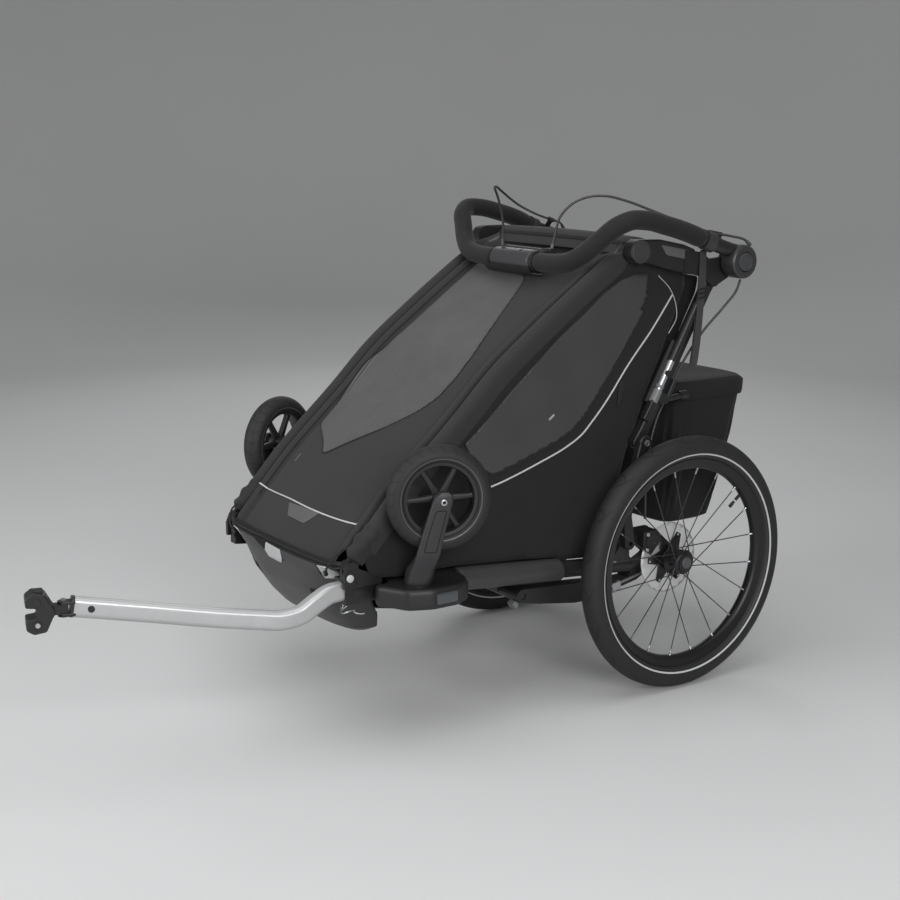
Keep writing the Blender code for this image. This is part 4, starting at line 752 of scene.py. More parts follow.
# Tow socket
# The receiver for the tow arm is cast in one with the hoop's left foot. A white push button frees the arm, and a
# sprung wire clip hangs below it.
white_paint = powder_coat("white_plastic", (0.7, 0.71, 0.71), (0.8, 0.81, 0.81), 0.32, 0.0, 0.0006, 0.00003)
profile = [(0.2236, 0.007), (0.2278, 0.007), (0.229, 0.0066), (0.2297, 0.0056), (0.23, 0.003)]
button = piece("tow_button", [knob(profile, 32, (-0.712, 0.319))], white_paint, "tow_release")
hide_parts("tow_release_button")
housing = [(-0.7255, 0.3075), (-0.696, 0.3055), (-0.6985, 0.315), (-0.7075, 0.3305), (-0.715, 0.331)]
well = disc((-0.712, 0.319), 0.0079, 32)
bezel = slab("button_housing", housing, 0.2232, 0.2272, plastic_paint, "chassis", holes=[well], edge=0.0008)
slot_edge = round_box(0.03, 0.009, 0.002) + (-0.682, 0.2905)
shade = slab("receiver_panel", slot_edge, 0.2173, 0.2181, frame_paint, "chassis", edge=0.0002)
clip_points = [(0.205, -0.712, 0.267), (0.205, -0.716, 0.261), (0.214, -0.722, 0.256), (0.223, -0.722, 0.258),
               (0.226, -0.712, 0.261), (0.221, -0.7, 0.259), (0.215, -0.697, 0.253), (0.219, -0.69, 0.25),
               (0.228, -0.684, 0.252)]
clip = piece("wire_clip", [strand(clip_points, 0.0013, 10, 70, (0.3, 0.2, 1.0))], steel_paint, "chassis", 60)
skin = strand([(0.196, -0.706, 0.269), (0.196, -0.712, 0.262), (0.204, -0.716, 0.259), (0.21, -0.712, 0.264),
               (0.21, -0.706, 0.269)], 0.0013, 10, 40, (0.0, 1.0, 0.3))
hook = piece("clip_loop", [skin], steel_paint, "chassis", 60)

# Nose
# The bumper is a moulded plastic shell with a rolled rim over a groove, a smooth face with white reflectors, slots that
# let water out, and a keel that carries it under the floor. The groove, the slots and the reflectors' recesses are
# painted near black, as painted shade.

# Half width, height, front and depth of each row.
NOSE = np.array(((0.1945, 0.341, -0.728, 0.022), (0.1975, 0.3375, -0.7345, 0.024), (0.1958, 0.334, -0.7312, 0.024),
                 (0.1962, 0.3305, -0.7345, 0.023), (0.185, 0.3285, -0.7358, 0.026), (0.1765, 0.31, -0.7352, 0.066),
                 (0.172, 0.262, -0.719, 0.08), (0.16, 0.22, -0.692, 0.076), (0.145, 0.193, -0.668, 0.06),
                 (0.125, 0.183, -0.648, 0.034), (0.1225, 0.1872, -0.62, 0.018), (0.12, 0.2095, -0.595, 0.004)))
LIP_Z = 0.3288


def bluff(share):
    """How far the nose lies behind its front at a share u of its half width, as a part of its depth.

    It is 1 - c ** 0.7, where c is the cosine of the angle whose sine is |u| ** (1 / 0.55).
    """
    cosine = np.sqrt(np.clip(1.0 - np.abs(share) ** (2.0 / 0.55), 0.0, 1.0))
    return 1.0 - cosine**0.7


def nose_sweep(rows, share):
    """Points of the nose for rows of half width, height, front and depth, and shares u of the half width.

    A point stands at x = half * u and y = front + depth * bluff(u).
    """
    half, z, front, depth = np.moveaxis(rows[:, None], -1, 0)
    x, y = half * share, front + depth * bluff(share)
    return np.stack([x, y, np.broadcast_to(z, x.shape)], -1)


def on_nose(out):
    """A function that lifts (x, z) points onto the nose's face, a distance in front of it."""
    face = NOSE[:10][::-1]

    def lift(a, b):
        half, front, depth = (np.interp(b, face[:, 1], face[:, k]) for k in (0, 2, 3))
        return a, front + depth * bluff(np.clip(np.abs(a) / half, 0, 1)) - out, b

    return lift


step = np.concatenate([np.linspace(k, k + 1, 14)[:-1] for k in range(11)] + [[11.0]])
rows = np.stack([np.interp(step, np.arange(12), column) for column in NOSE.T], 1)
rows[2:-2] = sum(w * rows[k:len(rows) - 4 + k] for k, w in enumerate((0.1, 0.25, 0.3, 0.25, 0.1)))
share = np.sin(np.linspace(-np.pi / 2, np.pi / 2, 121))[None]
grid = nose_sweep(rows, share)
nose_paint, shader, start = finish("nose_plastic", 0.42)
where = start.spot()
grain, cloud = speckle(start, where, 0.0005), speckle(start, where, 0.05, 4.0)
lip = where.part(2) > LIP_Z
colour = (grain * 0.3 + cloud * 0.7).shades((0.042, 0.042, 0.044), (0.062, 0.062, 0.065))
feed(shader, lip.shades(colour, (0.013, 0.013, 0.014)), "Base Color")
feed(shader, 0.38 + cloud * 0.14, "Roughness")
emboss(shader, grain, 0.00004)
nose = thicken(piece("nose_shell", [shell(grid)], nose_paint, "chassis", 38), 0.003)
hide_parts("front_bumper")
lens_paint, shader, start = finish("white_reflector", 0.12, Coat_Weight=0.8)
where = start.spot()
x_side, z_side = (where.part(k) for k in (0, 2))
ribs = x_side.wave(0.0052) * 0.5 + 0.5
cells = x_side.wave(0.0026) * z_side.wave(0.0026) * 0.5 + 0.5
feed(shader, (ribs * 0.45 + cells * 0.55).shades((0.5, 0.51, 0.52), (0.84, 0.85, 0.85)), "Base Color")
emboss(shader, cells, 0.0003)
left_lens = np.array([(0.15, 0.329), (0.174, 0.33), (0.18, 0.313), (0.166, 0.304), (0.152, 0.303)])
middle_lens = [(-0.032, 0.316), (-0.029, 0.331), (0.023, 0.329), (0.03, 0.312), (0.026, 0.3045), (-0.02, 0.306)]
for name, outline in (("middle", middle_lens), ("left", left_lens), ("right", left_lens * (-1.0, 1.0))):
    skin = patch(outline, [], 0.003, on_nose(0.0032))
    lens = thicken(piece(name + "_front_reflector", [skin], lens_paint, "chassis"), 0.0014, edge=0.0005)
# Near-black patches on the face, in the reflectors' recesses and the drain slots, are painted shade.
middle_recess = [(-0.036, 0.315), (-0.033, 0.331), (-0.09, 0.332), (-0.064, 0.323)]
recess = np.array([(0.144, 0.329), (0.148, 0.329), (0.149, 0.306), (0.144, 0.31)])
drain = np.array([(0.13, 0.275), (0.1, 0.272), (0.096, 0.252), (0.108, 0.25)])
skins = [patch(outline, [], 0.004, on_nose(0.0019)) for outline in
         (middle_recess, recess, recess * (-1.0, 1.0), drain * (-1.0, 1.0), drain)]
slots = thicken(piece("nose_slot_shade", skins, painted_shade, "chassis"), 0.0006)
# A near-black cord in the groove under the rolled rim is painted shade.
groove = nose_sweep(np.array([(0.1966, 0.3338, -0.7318, 0.024)]), share)[0]
lip_line = piece("rim_groove_shade", [bar(groove, ring(0.0011, 8), (0.0, 0.0, 1.0))], painted_shade, "chassis", 60)

# Floor
# A moulded pan makes the footwell and the bench. Two steel beams cross under it; the front one carries the
# suspension arms and the rear one the pedal of the parking brake.
pan_paint = powder_coat("floor_plastic", (0.016, 0.016, 0.017), (0.03, 0.03, 0.032), 0.6, 0.0, 0.0012, 0.0001)
dress(pan_paint, "floor_pan")
dress(frame_paint, "suspension_beam", "rear_beam", "front_hoop", "rear_cross_tube")
tread_paint, shader, start = finish("pedal_plastic", 0.5)
where = start.spot()
x_side, y_side = (where.part(k) for k in (0, 1))
ridges = (y_side.wave(0.006) > 0.2) * (abs(x_side) < 0.026)
blot = speckle(start, where, 0.01, 3.0)
feed(shader, blot.shades((0.08, 0.012, 0.01), (0.12, 0.02, 0.016)), "Base Color")
emboss(shader, ridges, 0.0006)
dress(tread_paint, "parking_brake_pedal")

# Seat cushions
# The seat is a foam base and a back in quilted polyester, laced to the frame inside the cabin.
PUFF = 0.006


def at(x, y, z):
    """A point measured from the axle, carried to its place."""
    return (x, y + AXLE_Y, z)


def woven(name, dark, light, pitch, depth, roughness=0.88, sheen=0.25, mottle=0.035):
    """Plain weave: height = sin(2 pi u / pitch) * sin(2 pi v / pitch), over a mottled colour."""
    material, shader, start = finish(name, roughness, Sheen_Weight=sheen, Sheen_Roughness=0.5)
    u, v = chart(start)
    weave = u.wave(pitch) * v.wave(pitch) * 0.5 + 0.5
    blot = speckle(start, start.spot(), mottle, 4.0)
    feed(shader, (weave * 0.3 + blot * 0.7).shades(dark, light), "Base Color")
    feed(shader, roughness - 0.06 + blot * 0.12, "Roughness")
    emboss(shader, weave * 0.6 + blot * 0.4, depth)
    return material


def modified(thing):
    """A mesh of what an object's modifiers make of it now."""
    return bpy.data.meshes.new_from_object(thing.evaluated_get(bpy.context.evaluated_depsgraph_get()))


def places(mesh):
    """The places of a mesh's points as an array."""
    flat = np.zeros(3 * len(mesh.vertices))
    mesh.vertices.foreach_get("co", flat)
    return flat.reshape(-1, 3)


def puffed(name, node, cap, paint):
    """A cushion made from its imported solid: a merged copy is remeshed and filled with air as cloth for 20 frames.

    No point moves further than a cap.
    """
    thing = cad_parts[node].copy()
    thing.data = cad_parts[node].data.copy()
    thing.name = thing.data.name = name
    thing.parent = None
    for key in list(thing.keys()):
        del thing[key]
    bpy.context.scene.collection.objects.link(thing)
    merged = bmesh.new()
    merged.from_mesh(thing.data)
    bmesh.ops.remove_doubles(merged, verts=merged.verts, dist=1e-5)
    merged.to_mesh(thing.data)
    merged.free()
    voxel = thing.modifiers.new("voxel", "REMESH")
    voxel.voxel_size = 0.006
    blown = modified(thing)
    rest = places(blown)
    air = thing.modifiers.new("air", "CLOTH")
    air.settings.use_pressure = True
    air.settings.uniform_pressure_force = 4.0
    air.settings.effector_weights.gravity = 0.0
    air.settings.quality = 5
    air.point_cache.frame_end = 20
    for step in range(1, 21):
        bpy.context.scene.frame_set(step)
    blown = modified(thing)
    shift = places(blown) - rest
    shift *= np.minimum(1.0, cap / np.maximum(np.linalg.norm(shift, axis=1), 1e-9))[:, None]
    blown.vertices.foreach_set("co", (rest + shift).ravel())
    bpy.context.scene.frame_set(1)
    thing.data = blown
    thing.modifiers.clear()
    thing.data.name = name
    thing.data.shade_smooth()
    thing.data.materials.clear()
    thing.data.materials.append(paint)
    finer = thing.modifiers.new("finer", "SUBSURF")
    finer.levels = finer.render_levels = 1
    return thing


def quilted(name, dark, light, pitch, depth):
    """Woven cloth on Object coordinates, for padded pieces that have no pattern coordinates."""
    material, shader, start = finish(name, 0.88, Sheen_Weight=0.3, Sheen_Roughness=0.5)
    where = start.spot()
    x, y, z = (where.part(k) for k in range(3))
    weave = x.wave(pitch) * (y + z).wave(pitch) * 0.5 + 0.5
    blot = speckle(start, where, 0.03, 4.0)
    feed(shader, (weave * 0.3 + blot * 0.7).shades(dark, light), "Base Color")
    emboss(shader, weave * 0.6 + blot * 0.4, depth)
    return material


seat_paint = quilted("seat_cloth", (0.05, 0.052, 0.056), (0.085, 0.088, 0.094), 0.0026, 0.00025)
base = puffed("seat_base_pad", "seat_base", PUFF, seat_paint)
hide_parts("seat_base")
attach(base, "chassis")
back = puffed("seat_back_pad", "seat_back", PUFF, seat_paint)
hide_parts("seat_back")
at(0.0, -0.188, 0.352)
at(0.0, -0.024, 0.755)
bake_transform(back)

# Front cover
# One coated polyester sheet runs over the cabin from the nose to the top of the hoop. Sewn sleeves at its edges wrap
# the hoop's legs, and a zip runs beside each sleeve. A panel of open mesh is let into it, a reflective cord is sewn
# across it near the foot, and below the cord sits a bare rubber badge.

# The hoop's leg as (y, z), and the cover's sewn edge as (x, height over the leg's line).
LEG = ((-0.7231, 0.3118), (-0.703, 0.334), (-0.6, 0.447), (-0.47, 0.565), (-0.385, 0.645), (-0.294, 0.713),
       (-0.19, 0.785), (-0.148, 0.812), (-0.115, 0.833), (-0.08, 0.8535))
EDGE = ((0.0, 0.0), (0.1, 0.0), (0.16, 0.0), (0.169, -0.0006), (0.1722, 0.0048), (0.1765, 0.0108), (0.1825, 0.0138),
        (0.188, 0.0128), (0.1915, 0.006), (0.1945, 0.0002), (0.1985, 0.0), (0.2012, 0.0084), (0.2056, 0.0146),
        (0.212, 0.0176), (0.2184, 0.017), (0.224, 0.0128), (0.2276, 0.006), (0.2291, -0.002), (0.2297, -0.011),
        (0.2296, -0.02))
SLOPE = 0.7352
COVER_HALF = 0.1985
UPWARD = (0.0, -1.0, 1.0)
leg = flow(LEG, 600)
leg_run = np.concatenate([[0.0], np.cumsum(np.linalg.norm(np.diff(leg, axis=0), axis=1))]) - 0.03
leg_ahead = np.gradient(leg, axis=0)
leg_ahead /= np.linalg.norm(leg_ahead, axis=1)[:, None]


def on_cover(out, edge=False):
    """A function that lifts points (x, distance up the slope) onto the cover, a height above its cloth.

    The cloth stands off the leg's line by 2 mm and c (1 - (x / 0.1985)^2), where c falls from 18 mm at the foot to
    -8 mm at the top, and by the profile of the sewn edge, which is left out where edge is true.
    """
    profile = np.array(EDGE)

    def lift(a, b):
        y, z, dy, dz = (np.interp(b, leg_run, column) for column in (*leg.T, *leg_ahead.T))
        share = np.clip(b / SLOPE, 0.0, 1.1)
        crown = (0.018 - 0.026 * share**1.5) * np.clip(1.0 - (a / COVER_HALF) ** 2, 0.0, 1.0)
        ridge = np.interp(np.abs(a), profile[:17, 0], profile[:17, 1])
        height = out + 0.002 + crown + (0.0 if edge else ridge)
        return a, y - dz * height, z + dy * height

    return lift


cover_paint = woven("cover_cloth", (0.026, 0.026, 0.0265), (0.042, 0.042, 0.043), 0.0016, 0.00014, sheen=0.08)
# The cloth starts a little above the nose and ends at the hoop's top, where its edge profile fades out. It sags in
# waves of 1.6 mm, and its foot is kept in front of the nose's lip.
column = flow(EDGE, 126)
column = np.concatenate([column[::-1] * (-1, 1), column[1:]])
foot = -0.018 + 0.058 * np.clip((np.abs(column[:, 0]) - 0.184) / 0.01, 0.0, 1.0) ** 0.7
down = foot[None] + np.linspace(0.0, 1.0, 150)[:, None] * (leg_run[-1] - foot[None])
wide = np.broadcast_to(column[:, 0], down.shape)
fade = 1.0 - np.clip((down - 1.045 * SLOPE) / (0.06 * SLOPE), 0.0, 1.0)
sag = 0.0016 * np.sin(down * 21.0 + 2.0 * np.abs(wide) / 0.1) * np.clip(1.0 - (wide / 0.17) ** 2, 0.0, 1.0)
x, y, z = on_cover(0.0, edge=True)(wide, down)
dy, dz = (np.interp(down, leg_run, c) for c in leg_ahead.T)
raised = column[:, 1][None] * fade + sag * 0.4
lip = -0.7275 + 0.024 * bluff(np.clip(np.abs(wide) / 0.196, 0.0, 0.999))
grid = np.stack([x, np.maximum(y - dz * raised, lip), z + dy * raised], -1)
skin = shell(grid, chart=np.stack([wide, down], -1), facing=UPWARD)
cover = thicken(piece("front_cover_cloth", [skin], cover_paint, "top_frame", 60), 0.0014, -1.0)
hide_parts("front_cover")

# The window's outline as (share of the way up, x).
WINDOW = ((0.987, -0.168), (0.983, -0.09), (0.98, -0.023), (0.945, 0.02), (0.86, 0.048), (0.776, 0.072), (0.639, 0.11),
          (0.569, 0.119), (0.496, 0.116), (0.436, 0.093), (0.365, 0.047), (0.3, -0.009), (0.236, -0.064),
          (0.269, -0.089), (0.3, -0.13), (0.323, -0.163), (0.43, -0.17), (0.53, -0.174), (0.715, -0.16),
          (0.898, -0.164))


def welt(outline, lift, width, height, facing):
    """A flat sewn band along a closed outline: five columns across it, the middle three raised by its height."""
    loop = np.array(outline)
    ahead = np.roll(loop, -1, 0) - np.roll(loop, 1, 0)
    ahead /= np.linalg.norm(ahead, axis=1)[:, None]
    normal = np.stack([-ahead[:, 1], ahead[:, 0]], 1)
    columns = []
    for across, up in ((-0.5, -0.0012), (-0.36, height), (0.0, height * 1.15), (0.36, height), (0.5, -0.0012)):
        columns.append(laid(loop + normal * width * across, lift(up)))
    return shell(np.stack(columns, 1), along=True, facing=facing)


mesh_paint, shader, start = finish("window_mesh", 0.75, Sheen_Weight=0.15)
u, v = chart(start)
ribs = (u + v * 0.04).wave(0.0066) * 0.5 + 0.5
knots = (v + u * 0.5).wave(0.0042) * u.wave(0.0033) * 0.5 + 0.5
blot = speckle(start, start.spot(), 0.06, 3.0)
feed(shader, (ribs * 0.55 + knots * 0.2 + blot * 0.25).shades((0.004, 0.004, 0.0045), (0.195, 0.195, 0.197)),
     "Base Color")
emboss(shader, ribs * 0.7 + knots * 0.3, 0.0006)
piping_paint, shader, start = finish("reflective_cord", 0.32)
glints = speckle(start, start.spot(), 0.0012)
feed(shader, glints.shades((0.62, 0.63, 0.63), (0.86, 0.86, 0.86)), "Base Color")
emboss(shader, glints, 0.0001)
binding_paint = woven("binding_tape", (0.01, 0.01, 0.011), (0.02, 0.02, 0.021), 0.0011, 0.0001, sheen=0.04)
outline = rounded([(x, s * SLOPE) for s, x in WINDOW], 260, 0.022)
skin = patch(outline, [], 0.0085, on_cover(0.0008))
window = thicken(piece("mesh_window", [skin], mesh_paint, "top_frame", 60), 0.0006)
skin = welt(outline, on_cover, 0.005, 0.001, UPWARD)
edging = piece("mesh_binding", [skin], binding_paint, "top_frame", 60)
cord_line = [(-0.191, 0.104), (-0.13, 0.0985), (-0.059, 0.095), (0.023, 0.09), (0.09, 0.091), (0.133, 0.095),
             (0.173, 0.102)]
route = laid(flow([(x, s * SLOPE) for x, s in cord_line], 160), on_cover(0.0012))
skin = bar(route, ring(0.0016, 8), np.cross(route[-1] - route[0], (1.0, 0.0, 0.0)))
piping = piece("front_piping", [skin], piping_paint, "top_frame", 60)
reach = np.linspace(0.075, 1.03, 140) * SLOPE
skins = [bar(laid(np.stack([np.full(140, sign * x), reach], 1), on_cover(out)), ring(0.0011, 8))
         for _, sign in SIDES for x, out in ((0.1972, 0.0), (0.1735, 0.0002))]
seams = piece("cover_zips", skins, binding_paint, "top_frame", 60)
badge_paint = powder_coat("badge_rubber", (0.12, 0.121, 0.123), (0.16, 0.161, 0.164), 0.5, 0.0, 0.0008)
badge_edge = rounded([(-0.05, 0.085 * SLOPE), (-0.026, 0.051 * SLOPE), (0.036, 0.048 * SLOPE),
                      (0.059, 0.088 * SLOPE)], 80, 0.003)
skin = patch(badge_edge, [], 0.006, on_cover(0.0016))
badge = thicken(piece("bare_badge", [skin], badge_paint, "top_frame"), 0.0016, edge=0.0004)
skin = patch(round_box(0.006, 0.02, 0.0015, 4) + (-0.139, 0.21 * SLOPE), [], 0.004, on_cover(0.0012))
tag = thicken(piece("cover_tag", [skin], badge_paint, "top_frame"), 0.0008)

boot_paint = woven("boot_cloth", (0.02, 0.02, 0.0205), (0.036, 0.036, 0.037), 0.0016, 0.0002, sheen=0.08)
for side, sign in SIDES:
    route = flow([(sign * 0.213, -0.6, 0.448), (sign * 0.213, -0.65, 0.396), (sign * 0.2135, -0.68, 0.364),
                  (sign * 0.214, -0.696, 0.346)], 70)
    down = np.linspace(0.0, 1.0, 70)[:, None]
    around_leg = np.linspace(0.0, 2.0 * np.pi, 57)[None, :-1]
    bunch = np.clip((down - 0.25) / 0.45, 0.0, 1.0)
    creases = np.sin(down * 34.0 + 1.6 * np.sin(around_leg)) * 0.0018 + np.sin(around_leg * 4.0 - down * 9.0) * 0.0013
    radius = 0.014 + 0.0062 * bunch + bunch * creases - 0.005 * np.clip((down - 0.93) / 0.07, 0.0, 1.0)
    section = np.stack([radius * np.cos(around_leg) * 0.86, radius * np.sin(around_leg)], -1)
    boot = piece(side + "_hinge_boot", [bar(route, section)], boot_paint, "top_frame", 60)

# Side panels
# A stretched sheet closes each side from the hoop down to the rail. It holds a tinted film window in a taped edge, a
# reflective cord round the window's lower side, a finer cord along the rear seam and a small label.

# Outlines and cords of the side sheet as (y, z).
PANEL = ((-0.684, 0.353), *((y + 0.004, z + 0.005) for y, z in LEG[2:7]), (-0.148, 0.812), (-0.122, 0.834),
         (-0.07, 0.838), (-0.01, 0.824), (0.046, 0.808), (0.05, 0.78), (0.012, 0.7), (-0.052, 0.56), (-0.092, 0.47),
         (-0.118, 0.38), (-0.134, 0.268), (-0.255, 0.278), (-0.262, 0.286), (-0.49, 0.307), (-0.6, 0.3065),
         (-0.65, 0.311), (-0.676, 0.323))
GLASS = ((-0.471, 0.529), (-0.438, 0.556), (-0.394, 0.594), (-0.327, 0.651), (-0.258, 0.705), (-0.155, 0.779),
         (-0.112, 0.802), (-0.082, 0.81), (-0.045, 0.808), (-0.044, 0.79), (-0.049, 0.786), (-0.042, 0.78),
         (-0.05, 0.773), (-0.0405, 0.766), (-0.054, 0.76), (-0.045, 0.7575), (-0.062, 0.742), (-0.052, 0.738),
         (-0.1, 0.668), (-0.15, 0.606), (-0.188, 0.556), (-0.217, 0.528), (-0.2545, 0.5105), (-0.308, 0.49),
         (-0.359, 0.4755), (-0.4065, 0.463), (-0.449, 0.483))
SIDE_CORD = ((0.018, 0.764), (-0.014, 0.726), (-0.043, 0.6895), (-0.106, 0.62), (-0.171, 0.542), (-0.2, 0.516),
             (-0.242, 0.4945), (-0.301, 0.473), (-0.359, 0.456), (-0.406, 0.4436), (-0.46, 0.434), (-0.493, 0.431))
REAR_CORD = ((-0.02, 0.803), (0.013, 0.774), (0.027, 0.745), (0.03, 0.72), (0.01, 0.69))
SIDE_X = 0.2272
hinge_low, hinge_high = at(0.0, -0.33, 0.3125), at(0.0, -0.414, 0.5715)


def on_side(sign, out):
    """A function that lifts points (y, z) onto a side sheet, a height above its cloth.

    x = 0.2272 + slack + foot, where the slack is two faint diagonal folds, 0.9 mm sin(38 y + 21 z) and 0.5 mm
    sin(71 z - 24 y), and the foot is a ripple of 1.2 mm sin(60 y) that grows as z falls from 0.42 to 0.32.
    """

    def lift(a, b):
        slack = 0.0009 * np.sin(38.0 * a + 21.0 * b) + 0.0005 * np.sin(71.0 * b - 24.0 * a)
        foot = 0.0012 * np.clip((0.42 - b) / 0.1, 0.0, 1.0) * np.sin(60.0 * a)
        return sign * (SIDE_X + slack + foot + out), a, b

    return lift


film_paint, shader, start = finish("tinted_film", 0.34, Coat_Weight=0.12)
where = start.spot()
blot = speckle(start, where, 0.16, 2.0)
feed(shader, blot.shades((0.056, 0.056, 0.057), (0.078, 0.078, 0.079)), "Base Color")
feed(shader, 0.28 + speckle(start, where, 0.03, 3.0) * 0.16, "Roughness")
emboss(shader, speckle(start, where, 0.09, 1.0), 0.0012)
side_paint = woven("side_cloth", (0.01, 0.01, 0.0105), (0.021, 0.021, 0.022), 0.0015, 0.00014, sheen=0.06)
label_paint = woven("woven_label", (0.42, 0.42, 0.42), (0.58, 0.58, 0.58), 0.001, 0.0001)
for side, sign in SIDES:
    skin = patch(rounded(PANEL, 300, 0.006), [], 0.009, on_side(sign, 0.0))
    panel = thicken(piece(side + "_side_cloth", [skin], side_paint), 0.0012)
    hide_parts(side + "_side_panel")
    edge = rounded(GLASS, 640, 0.0016)
    skin = patch(edge, [], 0.008, on_side(sign, 0.0013))
    film = thicken(piece(side + "_side_window", [skin], film_paint), 0.0006)
    skin = welt(edge, lambda up: on_side(sign, 0.0016 + up), 0.0044, 0.0009, (sign, 0.0, 0.0))
    made = [film, piece(side + "_window_binding", [skin], binding_paint, None, 60)]
    for name, line, radius in (("_side_piping", SIDE_CORD, 0.0017), ("_rear_piping", REAR_CORD, 0.0008)):
        skin = bar(laid(flow(line, 150), on_side(sign, 0.0012)), ring(radius, 10))
        made.append(piece(side + name, [skin], piping_paint, None, 60))
    edge = round_box(0.015, 0.0045, 0.0008, 3) @ np.array(((0.82, 0.57), (-0.57, 0.82))) + (-0.276, 0.556)
    skin = patch(edge, [], 0.003, on_side(sign, 0.0016))
    made.append(thicken(piece(side + "_window_label", [skin], label_paint), 0.0006))
    edge = rounded([(-0.118, 0.56), (-0.108, 0.566), (-0.098, 0.604), (-0.106, 0.612), (-0.116, 0.6)], 60, 0.004)
    skin = patch(edge, [], 0.005, on_side(sign, 0.0022))
    catch = thicken(piece(side + "_cloth_catch", [skin], plastic_paint), 0.003, edge=0.0006)
    made.append(catch)
    for thing in [panel, *made]:
        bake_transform(thing)

gusset_paint = woven("gusset_cloth", (0.003, 0.003, 0.0032), (0.007, 0.007, 0.0072), 0.0015, 0.00014, sheen=0.02)
GUSSET = ((-0.06, 0.832), (-0.006, 0.817), (0.05, 0.802), (0.086, 0.796), (0.08, 0.766), (0.048, 0.705), (0.016, 0.65),
          (-0.013, 0.6), (-0.042, 0.55), (-0.08, 0.48), (-0.1, 0.47), (-0.07, 0.56), (-0.03, 0.66))
for side, sign in SIDES:
    skin = patch(rounded(GUSSET, 160, 0.005), [], 0.012, on_side(sign, -0.0032))
    gusset = thicken(piece(side + "_gusset", [skin], gusset_paint), 0.0012)
    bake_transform(gusset)

# Roof and rear panel
# The canopy's top and back are cut from the same coated cloth. The top is zipped to the front cover behind the hoop
# and carries a stiffened band, and the back falls behind the seat to the frame's foot.


def swept(rows, count, half, crown, rim=0.0):
    """A sheet on a curve through (y, z) rows, as wide as twice a half width.

    It rises by crown * (1 - (x / half)^2) in its middle and drops by the rim over the last 8 % of its half width.
    """
    route = flow(rows, count)
    ahead = np.gradient(route, axis=0)
    ahead /= np.linalg.norm(ahead, axis=1)[:, None]
    x = np.linspace(-half, half, 61)
    up = crown * (1.0 - (x / half) ** 2) - rim * np.clip((np.abs(x) / half - 0.92) / 0.08, 0.0, 1.0) ** 2
    y = route[:, 0][:, None] - ahead[:, 1][:, None] * up
    z = route[:, 1][:, None] + ahead[:, 0][:, None] * up
    return np.stack([np.broadcast_to(x, y.shape), y, z], -1)


roof_paint = woven("roof_cloth", (0.026, 0.026, 0.0265), (0.042, 0.042, 0.043), 0.0016, 0.00012, sheen=0.08)
ROOF = ((-0.096, 0.8462), (-0.08, 0.865), (-0.064, 0.876), (-0.045, 0.8745), (0.0, 0.86), (0.04, 0.845),
        (0.066, 0.829), (0.076, 0.8))
grid = swept(ROOF, 80, 0.215, 0.004, rim=0.012)
skin = shell(grid, chart=grid[..., :2], facing=(0.0, 0.0, 1.0))
roof = thicken(piece("roof_cloth", [skin], roof_paint, "top_frame", 60), 0.0014, -1.0)
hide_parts("roof_panel")
skin = shell(swept(((-0.084, 0.8625), (-0.0815, 0.8655), (-0.079, 0.868)), 12, 0.198, 0.004),
             facing=(0.0, 0.0, 1.0))
band = thicken(piece("roof_band", [skin], binding_paint, "top_frame", 60), 0.0012, 1.0)
BACK = ((-0.13, 0.275), (-0.11, 0.42), (-0.066, 0.55), (-0.01, 0.69), (0.035, 0.782))
grid = swept(BACK, 90, 0.2215, 0.0045)
grid[..., 1] += 0.0022 * np.sin(grid[..., 2] * 34.0) * np.cos(grid[..., 0] * 13.0)
skin = shell(grid, chart=grid[..., ::2], facing=(0.0, 1.0, -0.3))
rear = thicken(piece("rear_cloth", [skin], side_paint, None, 60), 0.0014, -1.0)
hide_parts("rear_panel")
at(0.0, -0.13, 0.28)
at(0.0, 0.03, 0.77)
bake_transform(rear)

# Top brackets
# A moulded bracket on each side joins the hoop to the push bar's hinge. It has a round boss in front and a bare
# recessed name plate on its outer face.
BOSS = (-0.09, 0.853)
for side, sign in SIDES:
    profile = [(0.2545, 0.0215), (0.2572, 0.0215), (0.258, 0.0207), (0.258, 0.0168), (0.2568, 0.016), (0.2568, 0.0001)]
    piece(side + "_bracket_boss", [knob(profile, 48, BOSS, sign)], sleeve_paint, "top_frame", 30)
    plate = rounded([(-0.04, 0.8642), (0.034, 0.8502), (0.03, 0.8332), (-0.026, 0.8442)], 60, 0.002)
    slab(side + "_bare_plate", plate, 0.2549, 0.2568, badge_paint, "top_frame", edge=0.0004, sign=sign)
    profile = [(0.23, 0.015), (0.23, 0.0222), (0.2385, 0.0222), (0.2385, 0.015)]
    piece(side + "_bracket_cap", [knob(profile, 48, BOSS, sign)], plastic_paint, "top_frame", 30)
dress(plastic_paint, "left_top_bracket", "right_top_bracket")

# Wrist strap
# A loop of nylon webbing hangs from the left top bracket. It is doubled through a ladder lock and closed by its
# stitched fold.
web_paint, shader, start = finish("nylon_webbing", 0.62, Sheen_Weight=0.3)
u, v = chart(start)
twill = (u + v * 0.5).wave(0.0016) * 0.5 + 0.5
ridge = v.wave(0.0024) * 0.5 + 0.5
feed(shader, (twill * 0.5 + ridge * 0.5).shades((0.03, 0.03, 0.031), (0.056, 0.056, 0.058)), "Base Color")
emboss(shader, twill * 0.5 + ridge * 0.5, 0.0003)
outer = [(0.2592, 0.0655, 0.85), (0.2594, 0.065, 0.825), (0.2606, 0.064, 0.801), (0.2618, 0.061, 0.76),
         (0.2622, 0.0575, 0.715), (0.2622, 0.052, 0.66), (0.2616, 0.047, 0.63), (0.2602, 0.045, 0.6215)]
inner = [(0.258, 0.064, 0.801), (0.2582, 0.062, 0.77), (0.258, 0.0575, 0.715), (0.258, 0.052, 0.66),
         (0.2586, 0.047, 0.63), (0.2602, 0.045, 0.6215)]
